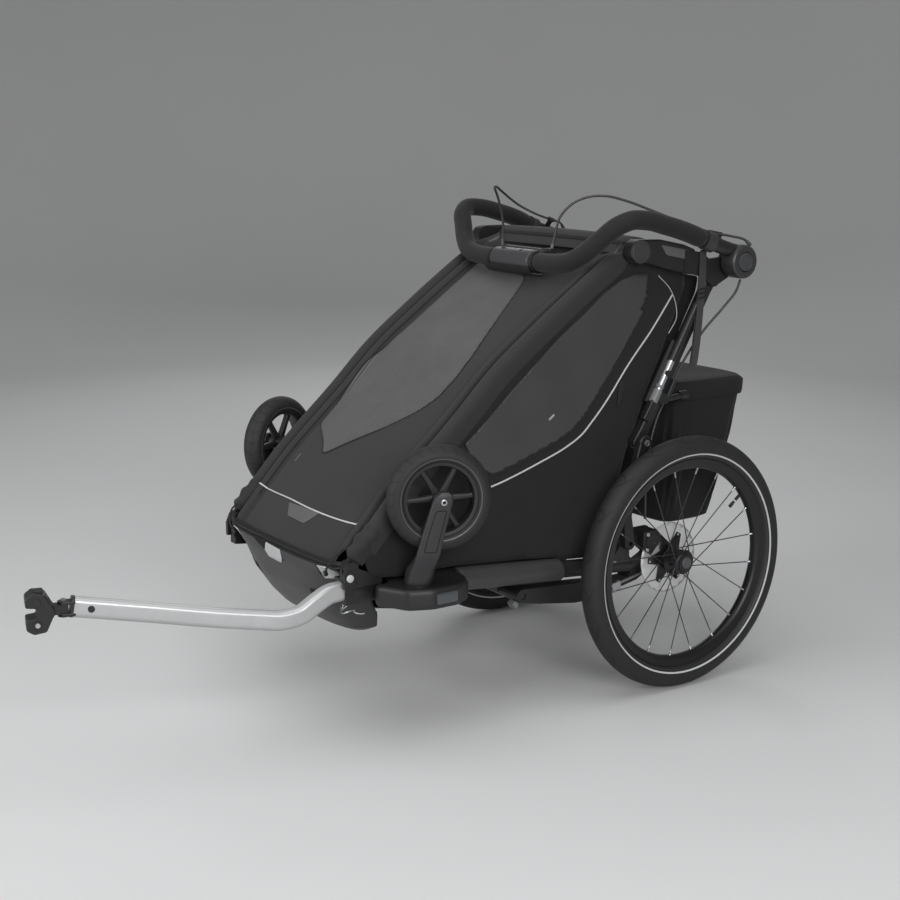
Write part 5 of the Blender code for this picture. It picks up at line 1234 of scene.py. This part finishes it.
section = round_box(0.017, 0.0014, 0.0014 / 2.05, 4)
skins = [bar(flow(points, 90), section, (0.0, 1.0, 0.0)) for points in (outer, inner)]
strap = piece("webbing_strap", skins, web_paint, "top_frame", 50)
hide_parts("wrist_strap")
skins = [bar([(0.2634, 0.0505, z), (0.2634, 0.0725, z + 0.001)], round_box(0.003, 0.0036, 0.0012, 4))
         for z in (0.775, 0.7665, 0.758)]
skins += [bar([(0.2634, y, 0.7562), (0.2634, y, 0.7772)], round_box(0.003, 0.0032, 0.0012, 4))
          for y in (0.051, 0.072)]
lock = piece("ladder_lock", skins, plastic_paint, "top_frame", 30)

# Rear uprights and struts
# Each upright is a square alloy tube that turns on a moulded strut when the frame is folded. A bright telescoping tube
# with a black knob stands in front of it, in a light clamp, and a latch locks the joint.
along, forward = np.array((0.5039, 0.8638)), np.array((-0.8638, 0.5039))
elbow = np.array((-0.075, 0.49))
silver_paint = bright_metal("satin_aluminium", 0.3, (0.5, 0.51, 0.52), (0.64, 0.65, 0.66), 0.26, 0.12)
clamp_paint = powder_coat("clamp_grey", (0.2, 0.206, 0.215), (0.26, 0.266, 0.275), 0.38)
dress(frame_paint, "left_rear_upright", "right_rear_upright")
dress(dock_paint, "left_lower_strut", "right_lower_strut")
dress(plastic_paint, "left_fold_latch", "right_fold_latch")


def beside(sign, first, last, out=0.014):
    """Two points in front of an upright, at two distances along it from its elbow. The first may stand further out."""
    return [(sign * 0.2525, *(elbow + along * run + forward * off)) for run, off in ((first, out), (last, 0.014))]


for side, sign in SIDES:
    skin = bar(beside(sign, 0.082, 0.17), ring(0.0072, 32))
    piece(side + "_bright_tube", [skin], silver_paint, "uprights", 40)
    skins = [bar(beside(sign, 0.078, 0.104), ring(0.0092, 28)), bar(beside(sign, 0.108, 0.114), ring(0.0086, 28))]
    piece(side + "_tube_clamp", skins, clamp_paint, "uprights", 40)
    skins = [bar(beside(sign, 0.166, 0.29), ring(0.0082, 28)),
             bar(beside(sign, 0.04, 0.08, 0.015), round_box(0.015, 0.017, 0.003))]
    piece(side + "_tube_sleeve", skins, frame_paint, "uprights", 40)
    skin = knob([(0.2575, 0.0062), (0.2626, 0.0062), (0.2634, 0.0054), (0.2634, 0.0001)], 28,
                elbow + along * 0.14 + forward * 0.014, sign)
    piece(side + "_tube_knob", [skin], plastic_paint, "uprights", 30)
    profile = [(0.27, 0.0066), (0.2716, 0.0062), (0.272, 0.004), (0.2712, 0.0036), (0.2712, 0.0001)]
    skin = knob(profile, 24, elbow, sign)
    piece(side + "_elbow_bolt", [skin], bolt_paint, "struts", 30)

# Push bar
# An oval loop of black tube with foam on its grip and sides, clamped into a drum hinge on each side by a pull
# collar. A brake lever in a moulded housing sits in the middle, and its two cables run back over the bar.
BAR = ((0.2785, 0.128, 0.8455), (0.2785, 0.1, 0.854), (0.275, 0.055, 0.8695), (0.269, 0.013, 0.886),
       (0.265, -0.0345, 0.9), (0.264, -0.0857, 0.9115), (0.2605, -0.1217, 0.912), (0.247, -0.1417, 0.9015),
       (0.222, -0.1577, 0.8775), (0.195, -0.1723, 0.852), (0.165, -0.183, 0.8342), (0.126, -0.1865, 0.827),
       (0.09, -0.187, 0.826), (0.045, -0.187, 0.826), (0.0, -0.187, 0.826))
foam_paint, shader, start = finish("closed_cell_foam", 0.86, Sheen_Weight=0.12)
where = start.spot()
cells = speckle(start, where, 0.0022, 3.0)
blot = speckle(start, where, 0.05, 3.0)
feed(shader, (cells * 0.4 + blot * 0.6).shades((0.009, 0.009, 0.01), (0.017, 0.017, 0.018)), "Base Color")
emboss(shader, cells, 0.00022)
drum_paint = powder_coat("hinge_plastic", (0.034, 0.034, 0.036), (0.058, 0.058, 0.061), 0.4, 0.0, 0.0005)
cap_paint = powder_coat("hub_cap", (0.064, 0.066, 0.07), (0.088, 0.091, 0.096), 0.35, 0.0, 0.0005)
housing_paint = powder_coat("housing_plastic", (0.05, 0.05, 0.053), (0.074, 0.074, 0.078), 0.38, 0.0, 0.0005)
HINGE = (0.14, 0.826)
TILT = (1.0, 0.0, 0.2)
tubes = []
for side, sign in SIDES:
    route = flow(BAR, 240) * (sign, 1.0, 1.0)
    tubes.append(bar(route, ring(0.014, 32), TILT))
    grip = route[(route[:, 1] < 0.047) & (np.abs(route[:, 0]) > 0.068)]
    ease = 0.003 * np.exp(-np.arange(len(grip)) / 1.5)
    skin = bar(grip, tapered(0.0182 - ease - ease[::-1], 32), TILT)
    foam = piece(side + "_foam", [skin], foam_paint, "handlebar", 60)
    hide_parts(side + "_foam_grip")
    skin = bar(route[(route[:, 1] > 0.05) & (route[:, 1] < 0.072)], ring(0.0186, 36), TILT)
    piece(side + "_bar_collar", [skin], drum_paint, "handlebar", 40)
    drum = [(0.258, 0.0085), (0.258, 0.024), (0.26, 0.0275), (0.264, 0.032), (0.266, 0.0326), (0.293, 0.0326),
            (0.2965, 0.0316), (0.2988, 0.0288), (0.2994, 0.025), (0.299, 0.0194), (0.2905, 0.0186), (0.2905, 0.01)]
    piece(side + "_hinge_drum", [bush(drum, 72, HINGE, sign)], drum_paint, "handlebar", 30)
    cap = [(0.295, 0.0178), (0.2996, 0.0178), (0.3008, 0.0172), (0.3014, 0.0158), (0.3014, 0.015), (0.3004, 0.0144),
           (0.3004, 0.01), (0.3009, 0.0001)]
    button = piece(side + "_hub_cap", [knob(cap, 56, HINGE, sign)], cap_paint, side + "_hub_release", 30)
    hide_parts(side + "_hub_button")
tube = piece("bar_tube", tubes, frame_paint, "handlebar", 40)
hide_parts("handlebar_tube")

# Brake lever and cables
# The housing is a split sleeve round the bar with a brow over the lever, a rubber ring and a cable bracket at its end.
GRIP = np.array((-0.187, 0.826))
CABLE_RADIUS = 0.0024
LEANING = (1.0, 0.3, 0.2)


def prism(outline, axis, levels, centre=(0.0, 0.0)):
    """Rings of an outline in a plane, each scaled, moved by a centre and put at its place along the third axis."""
    return np.stack([np.insert(np.array(outline) * scale + centre, axis, place, 1) for scale, place in levels])


barrel = [(-0.062, 0.0195), (-0.06, 0.0212), (-0.057, 0.0218), (-0.002, 0.0218), (-0.0014, 0.0213), (0.0014, 0.0213),
          (0.002, 0.0218), (0.057, 0.0218), (0.06, 0.0212), (0.062, 0.0195), (0.062, 0.0142), (-0.062, 0.0142)]
brow = round_box(0.018, 0.012, 0.0035) @ np.array(((0.94, -0.34), (0.34, 0.94))) + GRIP + (0.024, 0.0165)
skins = [bush(barrel, 72, GRIP), solid(prism(brow, 0, [(1.0, x) for x in (-0.056, -0.053, 0.053, 0.056)]))]
housing = piece("lever_housing", skins, housing_paint, "handlebar", 30)
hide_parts("brake_lever_housing")
top = GRIP + 0.0216 * np.array((-0.36, 0.93))
skins = [bar([(x - 0.004, *top), (x + 0.004, *(top + (0.0004, 0.0002)))], round_box(0.005, 0.0022, 0.001, 3),
             (0.0, 1.0, 0.4)) for x in (-0.033, 0.025)]
skins.append(bush([(0.0625, 0.019), (0.0635, 0.0214), (0.066, 0.0219), (0.069, 0.0214), (0.07, 0.019), (0.07, 0.015),
                   (0.0625, 0.015)], 56, GRIP))
skins.append(bar(flow([(0.066, -0.181, 0.844), (0.086, -0.177, 0.848), (0.106, -0.178, 0.849)], 16),
                 round_box(0.012, 0.01, 0.003), (0.0, 1.0, 0.0)))
seal = piece("housing_ring", skins, plastic_paint, "handlebar", 30)
dress(plastic_paint, "brake_lever")
jacket_paint, shader, start = finish("cable_jacket", 0.38, Coat_Weight=0.2)
wrap = chart(start)[1].wave(0.0034) * 0.5 + 0.5
feed(shader, wrap.shades((0.02, 0.02, 0.021), (0.046, 0.046, 0.048)), "Base Color")
emboss(shader, wrap, 0.00012)
ferrule_paint = powder_coat("cable_ferrule", (0.09, 0.09, 0.094), (0.13, 0.13, 0.134), 0.34, 0.4)
CABLES = {
    "left": ((0.099, -0.178, 0.851), (0.101, -0.173, 0.873), (0.107, -0.164, 0.913), (0.119, -0.142, 0.939),
             (0.135, -0.114, 0.951), (0.149, -0.089, 0.952), (0.168, -0.055, 0.943), (0.192, -0.012, 0.925),
             (0.216, 0.031, 0.906), (0.24, 0.074, 0.888), (0.254, 0.098, 0.88), (0.27, 0.128, 0.874),
             (0.284, 0.152, 0.866), (0.288, 0.161, 0.857)),
    "right": ((-0.052, -0.182, 0.851), (-0.051, -0.183, 0.899), (-0.046, -0.199, 0.944), (-0.042, -0.21, 0.965),
              (-0.05, -0.2, 0.965), (-0.063, -0.181, 0.958), (-0.09, -0.142, 0.943), (-0.121, -0.099, 0.928),
              (-0.184, -0.013, 0.905), (-0.232, 0.054, 0.89), (-0.254, 0.098, 0.88), (-0.27, 0.128, 0.874),
              (-0.284, 0.152, 0.866), (-0.288, 0.161, 0.857)),
}
FRAME_CABLE = ((0.276, 0.15, 0.79), (0.274, 0.143, 0.77), (0.266, 0.118, 0.738), (0.254, 0.08, 0.695),
               (0.244, 0.042, 0.642), (0.241, 0.005, 0.58), (0.241, -0.027, 0.525), (0.243, -0.045, 0.47),
               (0.246, -0.054, 0.41), (0.248, -0.056, 0.36), (0.249, -0.056, 0.334))
for side, sign in SIDES:
    skin = strand(CABLES[side], CABLE_RADIUS, 14, 260, LEANING)
    jacket = piece(side + "_lever_jacket", [skin], jacket_paint, "handlebar", 60)
    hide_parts(side + "_lever_cable")
    skins = []
    for end, inward in (CABLES[side][:2], CABLES[side][:-3:-1]):
        heading = np.array(inward) - end
        heading /= np.linalg.norm(heading)
        skins.append(bar([end + heading * t for t in (-0.001, 0.004, 0.011, 0.0115)],
                         tapered((0.0036, 0.0036, 0.0034, 0.0028), 20), LEANING))
    piece(side + "_cable_ferrules", skins, ferrule_paint, "handlebar", 40)
    clip = [bar([(sign * 0.248, 0.088, 0.8826), (sign * 0.261, 0.111, 0.8772)], ring(0.0044, 20), (0.0, 0.0, 1.0)),
            bar([(sign * 0.256, 0.0995, 0.8788), (sign * 0.27, 0.0995, 0.864)], round_box(0.012, 0.006, 0.002),
                (0.0, 1.0, 0.0))]
    piece(side + "_cable_clip", clip, plastic_paint, "handlebar", 30)
    skin = strand(np.array(FRAME_CABLE) * (sign, 1.0, 1.0), CABLE_RADIUS, 14, 160, (1.0, 0.2, 0.2))
    lower = piece(side + "_frame_jacket", [skin], jacket_paint, "chassis", 60)
    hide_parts(side + "_frame_cable")
    at(0.0, -0.056, 0.334)
    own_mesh(lower)

# Cargo bag
# A soft coated bag hangs behind the back on a tube frame. Its rim is bound and stiffened, and its walls hang in folds.

# Height, half width, front and back of the bag.
BAG = ((0.28, 0.14, 0.095, 0.206), (0.286, 0.15, 0.09, 0.221), (0.36, 0.1575, 0.088, 0.242),
       (0.435, 0.165, 0.086, 0.262), (0.54, 0.172, 0.08, 0.286), (0.545, 0.1765, 0.0755, 0.2945),
       (0.569, 0.1765, 0.0735, 0.2965), (0.577, 0.1685, 0.081, 0.286))
level = np.concatenate([np.linspace(0.28, 0.286, 3), np.linspace(0.29, 0.54, 44), np.linspace(0.5425, 0.577, 12)])
corner = disc((0.0, 0.0), 1.0, 160)
shape = np.sign(corner) * np.abs(corner) ** 0.3
heights, *widths = np.transpose(BAG)
half, front, backs = (np.interp(level, heights, column) for column in widths)
middle, depth = (front + backs) / 2, (backs - front) / 2
x = half[:, None] * shape[None, :, 0]
y = middle[:, None] + depth[:, None] * shape[None, :, 1]
turn = np.arctan2(corner[:, 1], corner[:, 0])
fade = np.clip((0.535 - level) / 0.08, 0.0, 1.0) * np.clip((level - 0.283) / 0.05, 0.0, 1.0)
folds = 0.0034 * np.sin(turn * 9.0 + level[:, None] * 14.0) + 0.002 * np.sin(turn * 21.0 - level[:, None] * 31)
scale = 1.0 + fade[:, None] * folds / np.hypot(x, y - middle[:, None])
x, y = x * scale, middle[:, None] + (y - middle[:, None]) * scale
body = np.stack([x, y, np.broadcast_to(level[:, None], x.shape)], -1)
ends = [[np.stack([x[k] * share, middle[k] + (y[k] - middle[k]) * share, np.full(160, z)], -1)[None]
         for share, z in rows] for k, rows in
        ((0, ((0.02, 0.2795), (0.5, 0.2795), (0.9, 0.2795))),
         (-1, ((0.96, 0.5785), (0.8, 0.5775), (0.5, 0.5745), (0.2, 0.573), (0.02, 0.5728))))]
skin = solid(np.concatenate([*ends[0], body, body[-1:], *ends[1]]))
bag_paint = woven("bag_cloth", (0.006, 0.006, 0.007), (0.018, 0.018, 0.019), 0.0018, 0.00018, 0.82, 0.06)
bag = piece("cargo_bag_cloth", [skin], bag_paint, "chassis", 60)
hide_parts("cargo_bag")
hung = [bag]
for side, sign in SIDES:
    line = [(sign * 0.205, -0.01, 0.56), (sign * 0.205, 0.03, 0.556), (sign * 0.2, 0.078, 0.558)]
    arm = strand(line, 0.0058, 20, 30)
    tip = bar([(sign * 0.199, 0.07, 0.5578), (sign * 0.199, 0.09, 0.559)], ring(0.0085, 24))
    rail = piece(side + "_bag_support", [arm, tip], frame_paint, "chassis", 40)
    hung.append(rail)
row = body[level < 0.5445][-1]
band = np.stack([row + (row - (0.0, 0.185, row[0, 2])) * grow + (0.0, 0.0, rise) for grow, rise in
                 ((0.0, -0.003), (0.012, -0.003), (0.018, 0.0), (0.018, 0.022), (0.01, 0.0245), (0.0, 0.0245))])
skin = shell(band, around=True, facing=(0.0, 0.0, 1.0))
rim_band = piece("bag_rim_band", [skin], binding_paint, "chassis", 60)
grid = prism(round_box(0.014, 0.024, 0.003), 1, ((0.9, 0.28), (1.0, 0.282), (1.0, 0.285), (0.9, 0.2862)),
             (0.12, 0.524))
tab = piece("bag_reflector", [solid(grid)], lens_paint, "chassis", 40)
for thing in (*hung, rim_band, tab):
    at(0.0, 0.15, 0.28)
    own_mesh(thing)

# Suspension arms
# A moulded trailing arm on each side carries the stub axle and the brake caliper. A light link runs along it, and a
# grey bumper sits on its front end.
dress(dock_paint, "left_suspension_arm", "right_suspension_arm")
caliper_paint = powder_coat("caliper_black", (0.018, 0.018, 0.019), (0.036, 0.036, 0.038), 0.34, 0.3)
for side, sign in SIDES:
    cup = [(0.239, 0.015), (0.24, 0.0158), (0.25, 0.0158), (0.251, 0.015), (0.251, 0.01), (0.239, 0.01)]
    far = [(0.26, 0.01), (0.26, 0.015), (0.269, 0.0158), (0.272, 0.0146), (0.272, 0.008), (0.2712, 0.0072),
           (0.2712, 0.0001)]
    skins = [knob(profile, 36, (-0.056, 0.293), sign) for profile in (cup, far)]
    piece(side + "_caliper_cups", skins, caliper_paint, side + "_arm", 30)
    bolt = [(0.27, 0.004), (0.274, 0.004), (0.2746, 0.0034), (0.2746, 0.002), (0.2732, 0.0018), (0.2732, 0.0001)]
    heads = [knob(bolt, 18, place, sign) for place in ((-0.068, 0.309), (-0.07, 0.279))]
    piece(side + "_caliper_bolts", heads, bolt_paint, side + "_arm", 30)
    rod, fat, thin = ring(0.0026, 14), round_box(0.007, 0.018, 0.002), round_box(0.007, 0.011, 0.002)
    skins = [bar([(sign * 0.2355, -0.156, 0.2005), (sign * 0.2355, -0.05, 0.2215)], rod),
             bar([(sign * 0.235, -0.126, 0.2035), (sign * 0.235, -0.106, 0.207)], fat),
             bar([(sign * 0.235, -0.16, 0.2), (sign * 0.235, -0.148, 0.202)], thin)]
    link = piece(side + "_brake_link", skins, bolt_paint, side + "_arm", 30)
    tip = bar([(sign * 0.217, -0.348, 0.208), (sign * 0.217, -0.356, 0.2035)], round_box(0.02, 0.013, 0.003))
    piece(side + "_arm_bumper", [tip], clamp_paint, side + "_arm", 30)

# Tow arm and hitch
# A bent rectangular alloy tube, painted silver, plugs into the receiver. A black yoke on its end carries the hitch
# neck on a bolt, and the cast coupler swings on the neck, with a key lock and a clamp screw in its face.
ARM = ((0.092, -1.16, 0.3155), (0.128, -1.04, 0.293), (0.165, -0.919, 0.27), (0.1805, -0.868, 0.262),
       (0.1925, -0.828, 0.257), (0.1985, -0.795, 0.262), (0.2, -0.765, 0.278), (0.2, -0.74, 0.289),
       (0.2, -0.715, 0.291), (0.2, -0.649, 0.291))
arm_paint = powder_coat("arm_silver", (0.54, 0.545, 0.55), (0.68, 0.685, 0.69), 0.34, 0.35, 0.0008, 0.00003)
route = flow(ARM, 200)
section = round_box(0.026, 0.034, 0.0088, 10)
arm = piece("tow_arm_tube", [bar(route, section)], arm_paint, "tow_arm", 50)
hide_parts("tow_arm")
hitch = np.array((0.083, -1.205, 0.315))
swing = np.radians(-16.9)
turned = np.array(((np.cos(swing), -np.sin(swing), 0.0), (np.sin(swing), np.cos(swing), 0.0), (0.0, 0.0, 1.0)))


def at_hitch(grid):
    """A shape in the hitch's own frame (x across, y towards the arm, z up), turned and put at its bolt."""
    return np.asarray(grid, float) @ turned.T + hitch


def pin(profile, centre, axis, steps=28):
    """A turned solid in the hitch's frame: (distance, radius) pairs along the x or the z axis through a centre."""
    turning = lathe(profile, steps, (0.0, 0.0))
    turning = turning if axis == "x" else turning[..., [1, 2, 0]]
    return solid(at_hitch(turning + centre))


edge = rounded([(-0.01, 0.026), (-0.01, 0.05), (0.01, 0.05), (0.01, 0.026), (0.0, 0.0205)], 60, 0.004)
wall = ((0.97, -0.0026), (1.0, -0.0018), (1.0, 0.0018), (0.97, 0.0026))
skins = [solid(at_hitch(prism(edge, 2, [(scale, z + rise) for scale, rise in wall]))) for z in (0.01, -0.01)]
heading = (route[1] - route[0]) / np.linalg.norm(route[1] - route[0])
skins.append(bar(route[:3] - 0.004 * heading, round_box(0.0272, 0.0352, 0.0094, 10)))
yoke = piece("arm_yoke", skins, plastic_paint, "tow_arm", 35)
pins = [pin([(-0.0156, 0.003), (-0.015, 0.0052), (0.015, 0.0052), (0.0164, 0.0048), (0.0168, 0.0001)],
            (0.0, 0.031, 0.0), "z", 6)]
piece("yoke_bolt", pins, bolt_paint, "tow_arm", 30)
side_bolt = route[8] + np.array((0.0128, 0.004, 0.0))
ahead = np.array((np.cos(swing), np.sin(swing), 0.0))
skin = bar([side_bolt + ahead * t for t in (-0.001, 0.0032, 0.004)], tapered((0.0058, 0.0058, 0.0046), 24),
           (0.0, 0.0, 1.0))
piece("arm_bolt", [skin], frame_paint, "tow_arm", 30)
dress(dock_paint, "hitch_coupler", "hitch_neck")
skins = [pin([(0.0175, 0.0062), (0.0212, 0.0062), (0.022, 0.0054), (0.022, 0.0001)], (0.0, -0.012, -0.019), "x"),
         pin([(0.0175, 0.007), (0.0198, 0.007), (0.0204, 0.0062), (0.0204, 0.0001)], (0.0, -0.012, 0.018), "x")]
piece("coupler_bosses", skins, plastic_paint, "hitch_coupler", 30)
skins = [pin([(0.0205, 0.0042), (0.0228, 0.0042), (0.0232, 0.0036), (0.0232, 0.0001)], (0.0, -0.012, -0.019), "x")]
piece("key_lock", skins, steel_paint, "hitch_coupler", 30)
grid = prism(round_box(0.02, 0.015, 0.003), 2, ((0.9, 0.03), (1.0, 0.0308), (1.0, 0.0346), (0.9, 0.0356)),
             (0.0, -0.008))
piece("coupler_tab", [solid(at_hitch(grid))], plastic_paint, "hitch_coupler", 30)

# Bungee cords
# A short elastic loop at each corner of the nose holds the foot of the cover down on a moulded hook.
bungee_paint = woven("bungee_cord", (0.006, 0.006, 0.006), (0.016, 0.016, 0.017), 0.0014, 0.0002, 0.7, 0.05)
for side, sign in SIDES:
    line = [(sign * 0.2, -0.708, 0.366), (sign * 0.198, -0.722, 0.356), (sign * 0.191, -0.729, 0.342),
            (sign * 0.183, -0.733, 0.33), (sign * 0.176, -0.731, 0.322)]
    route = flow(line, 60)
    length = float(np.linalg.norm(np.diff(route, axis=0), axis=1).sum())
    loop = piece(side + "_bungee", [bar(route, ring(0.0019, 12))], bungee_paint, "chassis", 60)
    at(*line[0])
    [at(*point) for point in route.tolist()]
    hook = [bar([(sign * 0.1765, -0.732, 0.323), (sign * 0.174, -0.729, 0.316)], ring(0.004, 20))]
    piece(side + "_bungee_hook", hook, plastic_paint, "chassis", 40)
